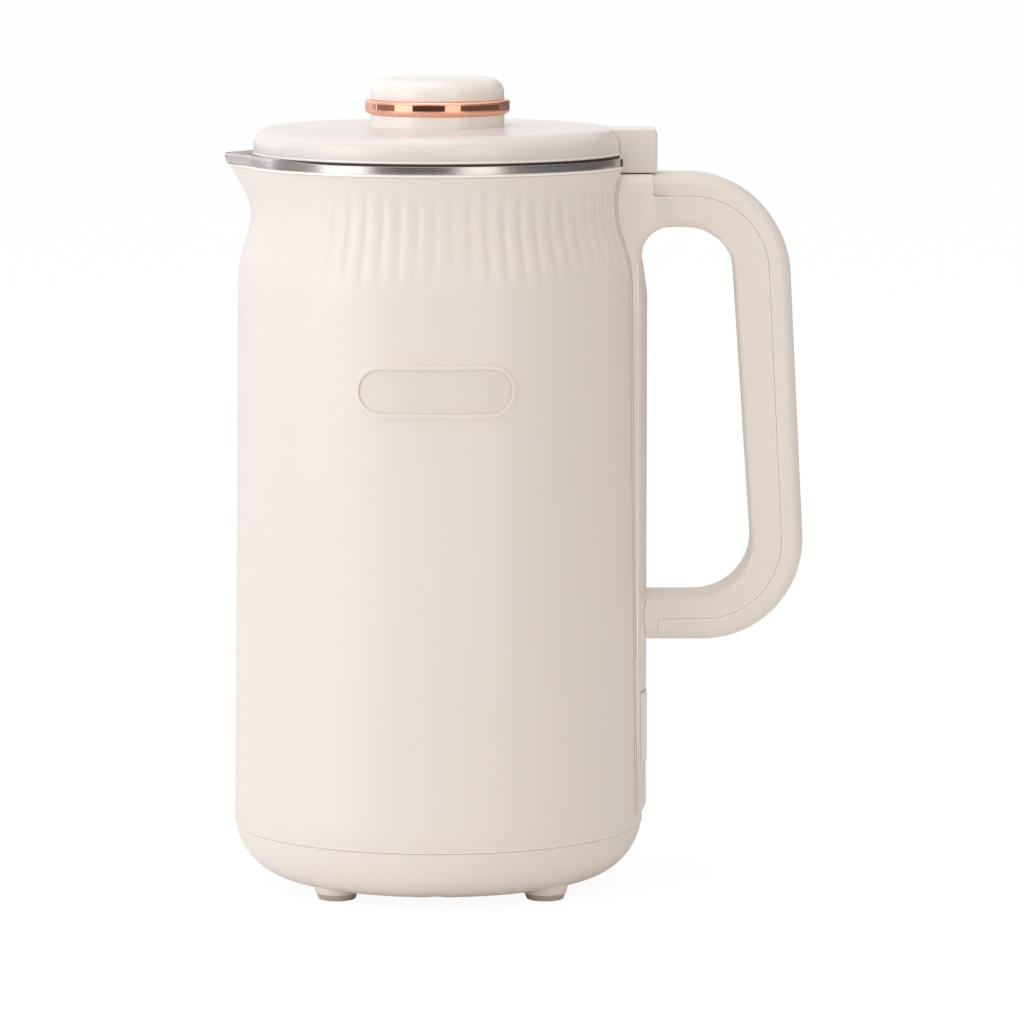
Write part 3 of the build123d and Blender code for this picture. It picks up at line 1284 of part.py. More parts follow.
with BuildPart() as knob_cap:
    with BuildSketch(upright()):
        with BuildLine():
            crown = TangentArc(
                (0, KNOB_TOP), (KNOB_CAP_RADIUS - KNOB_CAP_ROUNDING, KNOB_TOP - KNOB_DOME), tangent=(1, 0)
            )
            edge = TangentArc(
                crown @ 1, (KNOB_CAP_RADIUS, KNOB_TOP - KNOB_DOME - KNOB_CAP_ROUNDING), tangent=crown % 1
            )
            Polyline(
                edge @ 1,
                (KNOB_CAP_RADIUS, RING_TOP),
                (KNOB_RING_BORE - RUNNING_FIT, RING_TOP),
                (KNOB_RING_BORE - RUNNING_FIT, COLLAR_TOP),
                (0, COLLAR_TOP),
                crown @ 0,
            )
        make_face()
    revolve(axis=JUG_AXIS)
    knob_screw_seat = LID_EDGE_TOP - LID_WALL
    knob_screw_top = knob_screw_seat + KNOB_SCREW_GRIP
    add(ring(LID_BOTTOM, knob_screw_top + SEAM_GAP, KNOB_SCREW_WIDTH / 2 + RUNNING_FIT), mode=Mode.SUBTRACT)
keep(knob_cap.part, "knob_cap")

with BuildPart() as knob_screw:
    add(ring(knob_screw_seat - KNOB_SCREW_HEAD_HEIGHT, knob_screw_seat, KNOB_SCREW_HEAD_WIDTH / 2))
    add(ring(knob_screw_seat, knob_screw_top, KNOB_SCREW_WIDTH / 2))
keep(knob_screw.part, "knob_screw")

# Overflow probe: a steel rod in a bush through the liner's floor
with BuildPart() as probe_bush:
    with BuildSketch(level(PLUG_BOTTOM - PROBE_BUSH_DROP)):
        with Locations((-PROBE_OFFSET, 0)):
            Circle(PROBE_BUSH_WIDTH / 2)
            Circle(PROBE_WIDTH / 2 + RUNNING_FIT, mode=Mode.SUBTRACT)
    extrude(amount=PROBE_BUSH_DROP + PLUG_WALL + PROBE_BUSH_RISE)
keep(probe_bush.part, "probe_bush")

with BuildPart() as overflow_probe:
    with BuildSketch(level(PLUG_BOTTOM - PROBE_LENGTH)):
        with Locations((-PROBE_OFFSET, 0)):
            Circle(PROBE_WIDTH / 2)
    extrude(amount=PROBE_LENGTH + PLUG_WALL + PROBE_BUSH_RISE + PROBE_STUB)
    probe_tip = overflow_probe.edges().sort_by(Axis.Z)[0]
    fillet(probe_tip, radius=PROBE_WIDTH / 4)
keep(overflow_probe.part, "overflow_probe")

# Heater: a plate brazed under the cup, with its tube, four studs, a sensor and a thermal fuse
with BuildPart() as heater_plate:
    add(ring(HEATER_BOTTOM, CUP_UNDERSIDE, HEATER_RADIUS, HEATER_HOLE_RADIUS))
    add(columns(STUD_RADIUS, STUD_COUNT, STUD_WIDTH / 2, STUD_BOTTOM, HEATER_BOTTOM))
    add(
        columns(
            STUD_RADIUS,
            STUD_COUNT,
            MOUNT_SCREW_WIDTH / 2 + RUNNING_FIT,
            STUD_BOTTOM - CUT_OVERRUN,
            STUD_BOTTOM + MOUNT_SCREW_GRIP + SEAM_GAP,
        ),
        mode=Mode.SUBTRACT,
    )
keep(heater_plate.part, "heater_plate")

with BuildPart() as heater_tube:
    with BuildSketch(upright()):
        with Locations((HEATER_TUBE_RADIUS, HEATER_BOTTOM - HEATER_TUBE_WIDTH / 2)):
            Circle(HEATER_TUBE_WIDTH / 2)
    revolve(axis=JUG_AXIS, revolution_arc=HEATER_TUBE_ANGLE)
keep(heater_tube.part, "heater_tube")

with BuildPart() as temperature_sensor:
    with BuildSketch(level(HEATER_BOTTOM - SENSOR_HEIGHT)):
        with Locations((0, -SENSOR_OFFSET)):
            Circle(SENSOR_WIDTH / 2)
    extrude(amount=SENSOR_HEIGHT)
keep(temperature_sensor.part, "temperature_sensor")

with BuildPart() as thermal_fuse:
    with BuildSketch(facing_back(-FUSE_LENGTH / 2)):
        with Locations((SENSOR_OFFSET, HEATER_BOTTOM - FUSE_WIDTH / 2)):
            Circle(FUSE_WIDTH / 2)
    extrude(amount=FUSE_LENGTH)
keep(thermal_fuse.part, "thermal_fuse")

# Seal housing through the cup's floor, with the lip seal round the shaft
with BuildPart() as seal_housing:
    add(ring(CUP_FLOOR, SEAL_TUBE_TOP, SEAL_FLANGE_WIDTH / 2))
    add(ring(CUP_FLOOR - SEAL_TUBE_LENGTH, SEAL_TUBE_TOP, SEAL_TUBE_WIDTH / 2))
    add(
        ring(CUP_FLOOR - SEAL_TUBE_LENGTH - CUT_OVERRUN, SEAL_TUBE_TOP + CUT_OVERRUN, SEAL_TUBE_BORE / 2),
        mode=Mode.SUBTRACT,
    )
keep(seal_housing.part, "seal_housing")

shaft_radius = SHAFT_WIDTH / 2
shaft_bore = shaft_radius + RUNNING_FIT
with BuildPart() as shaft_seal:
    add(ring(SEAL_TUBE_TOP - SEAL_LIP_HEIGHT, SEAL_TUBE_TOP, SEAL_TUBE_BORE / 2, shaft_bore))
keep(shaft_seal.part, "shaft_seal")

# Motor mount: a disc with a bearing boss, hung on four rubber dampers under the heater's studs
bearing_radius = BEARING_WIDTH / 2
boss_radius = bearing_radius + BEARING_BOSS_WALL
with BuildPart() as motor_mount:
    add(ring(MOUNT_BOTTOM, MOUNT_TOP, MOUNT_RADIUS))
    add(ring(UPPER_BEARING_BOTTOM - BEARING_LIP, MOUNT_TOP, boss_radius))
    bearing_seat = ring(UPPER_BEARING_BOTTOM, MOUNT_TOP + CUT_OVERRUN, bearing_radius + RUNNING_FIT)
    add(bearing_seat, mode=Mode.SUBTRACT)
    add(
        ring(UPPER_BEARING_BOTTOM - BEARING_LIP - CUT_OVERRUN, MOUNT_TOP, BEARING_LIP_HOLE / 2),
        mode=Mode.SUBTRACT,
    )
    add(
        columns(
            STUD_RADIUS,
            STUD_COUNT,
            MOUNT_SCREW_WIDTH / 2 + LOOSE_FIT,
            MOUNT_BOTTOM - CUT_OVERRUN,
            MOUNT_TOP + CUT_OVERRUN,
        ),
        mode=Mode.SUBTRACT,
    )
    with BuildSketch(level(MOUNT_BOTTOM - CUT_OVERRUN)):
        with PolarLocations(MOUNT_VENT_RADIUS, STUD_COUNT, start_angle=180 / STUD_COUNT):
            SlotOverall(MOUNT_VENT_WIDTH, BEARING_LIP_HOLE, rotation=90)
    extrude(amount=MOUNT_THICKNESS + 2 * CUT_OVERRUN, mode=Mode.SUBTRACT)
keep(motor_mount.part, "motor_mount")

with BuildPart() as motor_dampers:
    add(columns(STUD_RADIUS, STUD_COUNT, DAMPER_WIDTH / 2, MOUNT_TOP, STUD_BOTTOM))
    add(
        columns(
            STUD_RADIUS,
            STUD_COUNT,
            MOUNT_SCREW_WIDTH / 2 + RUNNING_FIT,
            MOUNT_TOP - CUT_OVERRUN,
            STUD_BOTTOM + CUT_OVERRUN,
        ),
        mode=Mode.SUBTRACT,
    )
keep(motor_dampers.part, "motor_dampers")

with BuildPart() as motor_screws:
    add(
        columns(
            STUD_RADIUS,
            STUD_COUNT,
            MOUNT_SCREW_HEAD_WIDTH / 2,
            MOUNT_BOTTOM - MOUNT_SCREW_HEAD_HEIGHT,
            MOUNT_BOTTOM,
        )
    )
    stud_screw_top = STUD_BOTTOM + MOUNT_SCREW_GRIP
    add(columns(STUD_RADIUS, STUD_COUNT, MOUNT_SCREW_WIDTH / 2, MOUNT_BOTTOM, stud_screw_top))
keep(motor_screws.part, "motor_screws")

with BuildPart() as upper_bearing:
    add(ring(UPPER_BEARING_BOTTOM, UPPER_BEARING_BOTTOM + BEARING_HEIGHT, bearing_radius, shaft_bore))
keep(upper_bearing.part, "upper_bearing")

with BuildPart() as lower_bearing:
    add(ring(LOWER_BEARING_BOTTOM, LOWER_BEARING_BOTTOM + BEARING_HEIGHT, bearing_radius, shaft_bore))
keep(lower_bearing.part, "lower_bearing")

# Motor can: open at the top under the mount, with a bearing boss, brush windows and air windows
can_radius = CAN_WIDTH / 2
holder_width = BRUSH_WIDTH + 2 * BRUSH_HOLDER_WALL
holder_height = BRUSH_HEIGHT + 2 * BRUSH_HOLDER_WALL
with BuildPart() as motor_can:
    add(ring(CAN_BOTTOM, MOUNT_BOTTOM, can_radius))
    add(ring(LOWER_BEARING_BOTTOM, MOUNT_BOTTOM + CUT_OVERRUN, can_radius - CAN_WALL), mode=Mode.SUBTRACT)
    add(ring(CAN_BOTTOM - CUT_OVERRUN, MOUNT_BOTTOM, BEARING_LIP_HOLE / 2), mode=Mode.SUBTRACT)
    with BuildSketch(facing_side(-can_radius - CUT_OVERRUN)):
        with Locations((0, BRUSH_LEVEL)):
            Rectangle(holder_width + 2 * LOOSE_FIT, holder_height + 2 * LOOSE_FIT)
    extrude(amount=CAN_WIDTH + 2 * CUT_OVERRUN, mode=Mode.SUBTRACT)
    with BuildSketch(facing_back(-can_radius - CUT_OVERRUN)):
        with Locations((0, BRUSH_LEVEL)):
            Rectangle(CAN_WINDOW_WIDTH, CAN_WINDOW_HEIGHT)
    extrude(amount=CAN_WIDTH + 2 * CUT_OVERRUN, mode=Mode.SUBTRACT)
    add(ring(CAN_BOTTOM, LOWER_BEARING_BOTTOM + BEARING_HEIGHT, boss_radius, bearing_radius + RUNNING_FIT))
keep(motor_can.part, "motor_can")

# Stator and brushes, fixed in the can
with BuildPart() as stator_core:
    add(ring(STATOR_BOTTOM, STATOR_TOP, can_radius - CAN_WALL - RUNNING_FIT, STATOR_BORE / 2))
keep(stator_core.part, "stator_core")

coil_bottom = STATOR_BOTTOM - COIL_HEIGHT
coil_top = STATOR_TOP + COIL_HEIGHT
with BuildPart() as stator_coils:
    add(ring(coil_bottom, STATOR_BOTTOM, COIL_OUTER_RADIUS, COIL_INNER_RADIUS))
    add(ring(STATOR_TOP, coil_top, COIL_OUTER_RADIUS, COIL_INNER_RADIUS))
    add(upright_block(-can_radius, can_radius, COIL_SPREAD, coil_bottom, coil_top), mode=Mode.INTERSECT)
keep(stator_coils.part, "stator_coils")

holder_near = can_radius + RUNNING_FIT - BRUSH_HOLDER_LENGTH
with BuildPart() as brush_holders:
    with BuildSketch(facing_side(holder_near)):
        with Locations((0, BRUSH_LEVEL)):
            Rectangle(holder_width, holder_height)
    extrude(amount=BRUSH_HOLDER_LENGTH)
    with BuildSketch(facing_side(can_radius + RUNNING_FIT)):
        with Locations((0, BRUSH_LEVEL)):
            Rectangle(BRUSH_FLANGE_WIDTH, BRUSH_FLANGE_WIDTH)
    extrude(amount=BRUSH_FLANGE_THICKNESS)
    with BuildSketch(facing_side(holder_near - CUT_OVERRUN)):
        with Locations((0, BRUSH_LEVEL)):
            Rectangle(BRUSH_WIDTH + 2 * RUNNING_FIT, BRUSH_HEIGHT + 2 * RUNNING_FIT)
    extrude(amount=BRUSH_HOLDER_LENGTH + CUT_OVERRUN, mode=Mode.SUBTRACT)
    mirror(about=Plane.XZ)
keep(brush_holders.part, "brush_holders")

with BuildPart() as brushes:
    with BuildSketch(facing_side(COMMUTATOR_WIDTH / 2 + RUNNING_FIT)):
        with Locations((0, BRUSH_LEVEL)):
            Rectangle(BRUSH_WIDTH, BRUSH_HEIGHT)
    extrude(amount=BRUSH_LENGTH)
    mirror(about=Plane.XZ)
keep(brushes.part, "brushes")

# Rotor: shaft, armature, commutator, cooling fan, spacers, two bent blades and the nut
with BuildPart() as motor_shaft:
    add(ring(FAN_TOP - FAN_HEIGHT - SHAFT_END, NUT_BOTTOM + NUT_HEIGHT + SHAFT_END, shaft_radius))
    shaft_ends = motor_shaft.edges().filter_by(GeomType.CIRCLE)
    chamfer(shaft_ends, length=SHAFT_END / 2)
keep(motor_shaft.part, "motor_shaft")

armature_radius = ARMATURE_WIDTH / 2
slot_floor = armature_radius - ARMATURE_SLOT_DEPTH
with BuildPart() as armature_core:
    add(ring(ARMATURE_BOTTOM, ARMATURE_TOP, armature_radius, shaft_bore))
    with BuildSketch(level(ARMATURE_BOTTOM)):
        with PolarLocations(slot_floor + ARMATURE_SLOT_DEPTH, ARMATURE_SLOTS):
            Rectangle(2 * ARMATURE_SLOT_DEPTH, ARMATURE_SLOT_WIDTH)
    extrude(amount=ARMATURE_HEIGHT, mode=Mode.SUBTRACT)
keep(armature_core.part, "armature_core")

winding_radius = WINDING_WIDTH / 2
with BuildPart() as armature_windings:
    add(ring(ARMATURE_BOTTOM - WINDING_HEIGHT, ARMATURE_BOTTOM, winding_radius, shaft_bore))
    add(ring(ARMATURE_TOP, ARMATURE_TOP + WINDING_HEIGHT, winding_radius, shaft_bore))
    with BuildSketch(level(ARMATURE_BOTTOM)):
        with PolarLocations((slot_floor + RUNNING_FIT + winding_radius) / 2, ARMATURE_SLOTS):
            Rectangle(winding_radius - slot_floor - RUNNING_FIT, ARMATURE_SLOT_WIDTH - 2 * RUNNING_FIT)
    extrude(amount=ARMATURE_HEIGHT)
keep(armature_windings.part, "armature_windings")

with BuildPart() as commutator:
    add(ring(COMMUTATOR_TOP - COMMUTATOR_HEIGHT, COMMUTATOR_TOP, COMMUTATOR_WIDTH / 2, shaft_bore))
    with BuildSketch(level(COMMUTATOR_TOP - COMMUTATOR_HEIGHT)):
        with PolarLocations(COMMUTATOR_WIDTH / 2, COMMUTATOR_BARS):
            Rectangle(2 * COMMUTATOR_SLOT, COMMUTATOR_SLOT)
    extrude(amount=COMMUTATOR_HEIGHT, mode=Mode.SUBTRACT)
keep(commutator.part, "commutator")

with BuildPart() as cooling_fan:
    add(ring(FAN_TOP - FAN_PLATE, FAN_TOP, FAN_WIDTH / 2))
    add(ring(FAN_TOP - FAN_HEIGHT, FAN_TOP, FAN_HUB_WIDTH / 2))
    with BuildSketch(level(FAN_TOP - FAN_HEIGHT)):
        with PolarLocations((FAN_HUB_WIDTH / 2 - CUT_OVERRUN + FAN_WIDTH / 2) / 2, FAN_BLADES):
            Rectangle(FAN_WIDTH / 2 - FAN_HUB_WIDTH / 2 + CUT_OVERRUN, FAN_BLADE_THICKNESS)
    extrude(amount=FAN_HEIGHT - FAN_PLATE)
    add(ring(FAN_TOP - FAN_HEIGHT - CUT_OVERRUN, FAN_TOP + CUT_OVERRUN, shaft_bore), mode=Mode.SUBTRACT)
keep(cooling_fan.part, "cooling_fan")

with BuildPart() as blade_spacers:
    add(ring(SEAL_TUBE_TOP + SLINGER_GAP, LOWER_BLADE_LEVEL, SPACER_WIDTH / 2, shaft_bore))
    add(ring(LOWER_BLADE_LEVEL + BLADE_THICKNESS, UPPER_BLADE_LEVEL, SPACER_WIDTH / 2, shaft_bore))
keep(blade_spacers.part, "blade_spacers")


def blade(height, bend):
    """Two-winged blade, flat in the middle, with tapered wings bent by an angle (up is positive)"""
    drop = (BLADE_SPAN / 2 - BLADE_BEND_REACH) * tan(radians(bend))
    with BuildPart() as strip_of_steel:
        with BuildSketch(upright().offset(-BLADE_WIDTH / 2)):
            with BuildLine():
                under = Polyline(
                    (-BLADE_SPAN / 2, height + drop),
                    (-BLADE_BEND_REACH, height),
                    (BLADE_BEND_REACH, height),
                    (BLADE_SPAN / 2, height + drop),
                )
                over = Polyline(
                    (BLADE_SPAN / 2, height + drop + BLADE_THICKNESS),
                    (BLADE_BEND_REACH, height + BLADE_THICKNESS),
                    (-BLADE_BEND_REACH, height + BLADE_THICKNESS),
                    (-BLADE_SPAN / 2, height + drop + BLADE_THICKNESS),
                )
                Line(under @ 1, over @ 0)
                Line(over @ 1, under @ 0)
            make_face()
        extrude(amount=BLADE_WIDTH)
        with BuildSketch(level(height - BLADE_SPAN / 2)):
            with BuildLine():
                Polyline(
                    (-BLADE_SPAN / 2, BLADE_WIDTH / 2 - BLADE_TIP_WIDTH),
                    (-BLADE_SPAN / 2, BLADE_WIDTH / 2),
                    (-BLADE_BEND_REACH, BLADE_WIDTH / 2),
                    (BLADE_BEND_REACH, BLADE_WIDTH / 2),
                    (BLADE_SPAN / 2, BLADE_TIP_WIDTH - BLADE_WIDTH / 2),
                    (BLADE_SPAN / 2, -BLADE_WIDTH / 2),
                    (BLADE_BEND_REACH, -BLADE_WIDTH / 2),
                    (-BLADE_BEND_REACH, -BLADE_WIDTH / 2),
                    close=True,
                )
            make_face()
        extrude(amount=BLADE_SPAN, mode=Mode.INTERSECT)
        blade_top = height + BLADE_THICKNESS
        add(ring(height - CUT_OVERRUN, blade_top + CUT_OVERRUN, shaft_bore), mode=Mode.SUBTRACT)
    return strip_of_steel.part


lower_blade = blade(LOWER_BLADE_LEVEL, -LOWER_BLADE_BEND)
keep(lower_blade, "lower_blade")

upper_blade = blade(UPPER_BLADE_LEVEL, UPPER_BLADE_BEND).rotate(JUG_AXIS, UPPER_BLADE_TURN)
keep(upper_blade, "upper_blade")

with BuildPart() as blade_nut:
    with BuildSketch(level(NUT_BOTTOM)):
        RegularPolygon(NUT_WIDTH / 2, 6, major_radius=False)
    extrude(amount=NUT_HEIGHT)
    nut_top = NUT_BOTTOM + NUT_HEIGHT
    add(ring(NUT_BOTTOM - CUT_OVERRUN, nut_top + CUT_OVERRUN, shaft_bore), mode=Mode.SUBTRACT)
keep(blade_nut.part, "blade_nut")

# Power board on edge in the base's guides, with a relay and a capacitor on its outer side
board_back = -POWER_BOARD_REACH - BOARD_THICKNESS
board_bottom = BASE_FLOOR + POWER_BOARD_LIFT
board_top = board_bottom + POWER_BOARD_HEIGHT
with BuildPart() as power_board:
    add(upright_block(board_back, -POWER_BOARD_REACH, POWER_BOARD_WIDTH, board_bottom, board_top))
keep(power_board.part, "power_board")

board_middle = board_bottom + POWER_BOARD_HEIGHT * PART_HEIGHT_SHARE
with BuildPart() as power_relay:
    with BuildSketch(level(board_middle - RELAY_HEIGHT / 2)):
        with Locations((board_back - RELAY_DEPTH / 2, PART_SPACING / 2)):
            Rectangle(RELAY_DEPTH, RELAY_WIDTH)
    extrude(amount=RELAY_HEIGHT)
keep(power_relay.part, "power_relay")

with BuildPart() as filter_capacitor:
    with BuildSketch(level(board_middle - CAPACITOR_HEIGHT / 2)):
        with Locations((board_back - CAPACITOR_WIDTH / 2, -PART_SPACING / 2)):
            Circle(CAPACITOR_WIDTH / 2)
    extrude(amount=CAPACITOR_HEIGHT)
keep(filter_capacitor.part, "filter_capacitor")
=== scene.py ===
import json
from math import acos, asin, atan2, cos, hypot, pi, radians, sin, sqrt, tan

import bmesh
import bpy
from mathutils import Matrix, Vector
from mathutils.bvhtree import BVHTree


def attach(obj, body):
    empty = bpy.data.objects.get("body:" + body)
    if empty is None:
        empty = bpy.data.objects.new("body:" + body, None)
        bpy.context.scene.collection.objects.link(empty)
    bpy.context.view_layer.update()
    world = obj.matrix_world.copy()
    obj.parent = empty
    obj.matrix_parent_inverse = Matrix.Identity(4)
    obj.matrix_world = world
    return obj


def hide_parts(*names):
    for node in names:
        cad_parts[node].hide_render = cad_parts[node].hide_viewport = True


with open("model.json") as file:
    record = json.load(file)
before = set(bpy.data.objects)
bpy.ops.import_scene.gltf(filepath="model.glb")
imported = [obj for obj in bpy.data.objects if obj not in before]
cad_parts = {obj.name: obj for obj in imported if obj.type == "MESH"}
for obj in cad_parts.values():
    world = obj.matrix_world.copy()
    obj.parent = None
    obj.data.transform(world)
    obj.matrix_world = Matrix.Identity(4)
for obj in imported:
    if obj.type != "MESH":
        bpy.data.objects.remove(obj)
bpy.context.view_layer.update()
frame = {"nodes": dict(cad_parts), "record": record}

# Lengths are in millimetres from the jug's own axis, as in the CAD source, until place() turns them
# into metres. A section is a list of (radius, height) points.
MM = 0.001
AXIS_X = -24.45

# Housing, with the heights and radii that its CAD solid has
SEAM_HEIGHT = 20.0
SEAM_FOOT = 19.8
SEAM_RADIUS = 65.8
SHOULDER = (63.85, 194.0)
NECK_TURN = (61.35, 208.0)
WAIST = (59.3, 217.7)
MOUTH = (61.0, 231.3)
WALL = 2.2
SEAM_GAP = 0.3
SEAM_LEFT = 0.1
RIM_TOP = 235.5
HANDLE_TOP = 229.2
SPOUT_LIP = 66.2
STRIP_HALF = 17.0
SIDES = ((-1, "front"), (1, "rear"))


def place(point):
    """A point in millimetres from the jug's axis, in metres in the row frame"""
    return ((point[0] + AXIS_X) * MM, point[1] * MM, point[2] * MM)


def smooth(low, high, value):
    """Soft step from 0 at low to 1 at high"""
    share = min(max((value - low) / (high - low), 0.0), 1.0)
    return share * share * (3 - 2 * share)


# Materials: noise scales are per metre, and surface heights are in metres
TONE_SCALE = 18.0
GLOSS_SCALE = 140.0
GRAIN_SCALE = 1900.0
GRAIN_HEIGHT = 0.00006
LINE_HEIGHT = 0.00003
LINE_ROUGHNESS_SHARE = 0.25
COAT_ROUGHNESS = 0.12
METAL_COAT_IOR = 2.0


def shader(name):
    """New node material with a Principled shader; returns the material, its nodes, links and shader"""
    material = bpy.data.materials.new(name)
    material.use_nodes = True
    nodes = material.node_tree.nodes
    return material, nodes, material.node_tree.links, nodes["Principled BSDF"]


def node(nodes, kind, **values):
    """Adds a node and sets its properties, or its inputs by name"""
    made = nodes.new(kind)
    for key, value in values.items():
        if hasattr(made, key):
            setattr(made, key, value)
        else:
            made.inputs[key.replace("_", " ")].default_value = value
    return made


def speckled(nodes, links, vector, scale, low, high):
    """Noise mapped to a narrow range between two numbers"""
    noise = node(nodes, "ShaderNodeTexNoise", Scale=scale, Detail=3.0)
    links.new(vector, noise.inputs["Vector"])
    spread = node(nodes, "ShaderNodeMapRange", To_Min=low, To_Max=high)
    links.new(noise.outputs["Fac"], spread.inputs["Value"])
    return spread.outputs["Result"]


def tinted(nodes, links, factor, first, second):
    """Colour that drifts between two close tones"""
    mix = node(nodes, "ShaderNodeMix", data_type="RGBA")
    links.new(factor, mix.inputs["Factor"])
    mix.inputs["A"].default_value = (*first, 1)
    mix.inputs["B"].default_value = (*second, 1)
    return mix.outputs["Result"]


def moulded(name, colour, roughness, grain, drift=0.012, coat=0.0, sheen_rough=0.04):
    """Moulded plastic: a slow drift of tone, a fine grain in the surface and uneven gloss"""
    material, nodes, links, base = shader(name)
    where = node(nodes, "ShaderNodeTexCoord").outputs["Object"]
    tone = speckled(nodes, links, where, TONE_SCALE, 0.0, 1.0)
    darker = tuple(max(part - drift, 0.0) for part in colour)
    lighter = tuple(min(part + drift, 1.0) for part in colour)
    links.new(tinted(nodes, links, tone, darker, lighter), base.inputs["Base Color"])
    gloss = speckled(nodes, links, where, GLOSS_SCALE, roughness - sheen_rough, roughness + sheen_rough)
    links.new(gloss, base.inputs["Roughness"])
    if grain > 0:
        fine = node(nodes, "ShaderNodeTexNoise", Scale=GRAIN_SCALE, Detail=2.0)
        links.new(where, fine.inputs["Vector"])
        bump = node(nodes, "ShaderNodeBump", Strength=grain, Distance=GRAIN_HEIGHT)
        links.new(fine.outputs["Fac"], bump.inputs["Height"])
        links.new(bump.outputs["Normal"], base.inputs["Normal"])
    base.inputs["Coat Weight"].default_value = coat
    base.inputs["Coat Roughness"].default_value = COAT_ROUGHNESS
    return material


def brushed(name, colour, roughness, along, strength=0.25, spread=0.05, coat=0.0):
    """Metal with fine lines; along scales the noise, so that small numbers draw it out on that axis"""
    material, nodes, links, base = shader(name)
    where = node(nodes, "ShaderNodeTexCoord").outputs["Object"]
    stretch = node(nodes, "ShaderNodeMapping")
    stretch.inputs["Scale"].default_value = along
    links.new(where, stretch.inputs["Vector"])
    lines = node(nodes, "ShaderNodeTexNoise", Scale=1.0, Detail=4.0)
    links.new(stretch.outputs["Vector"], lines.inputs["Vector"])
    darker = tuple(part * (1 - spread) for part in colour)
    lighter = tuple(min(part * (1 + spread), 1.0) for part in colour)
    links.new(tinted(nodes, links, lines.outputs["Fac"], darker, lighter), base.inputs["Base Color"])
    smoothest = roughness * (1 - LINE_ROUGHNESS_SHARE)
    roughest = roughness * (1 + LINE_ROUGHNESS_SHARE)
    rough = node(nodes, "ShaderNodeMapRange", To_Min=smoothest, To_Max=roughest)
    links.new(lines.outputs["Fac"], rough.inputs["Value"])
    links.new(rough.outputs["Result"], base.inputs["Roughness"])
    bump = node(nodes, "ShaderNodeBump", Strength=strength, Distance=LINE_HEIGHT)
    links.new(lines.outputs["Fac"], bump.inputs["Height"])
    links.new(bump.outputs["Normal"], base.inputs["Normal"])
    base.inputs["Metallic"].default_value = 1.0
    base.inputs["Coat Weight"].default_value = coat
    base.inputs["Coat IOR"].default_value = METAL_COAT_IOR
    return material


SHELL_TONE = (0.84, 0.742, 0.662)
LID_TONE = (0.815, 0.737, 0.672)
KNOB_TONE = (0.93, 0.85, 0.78)
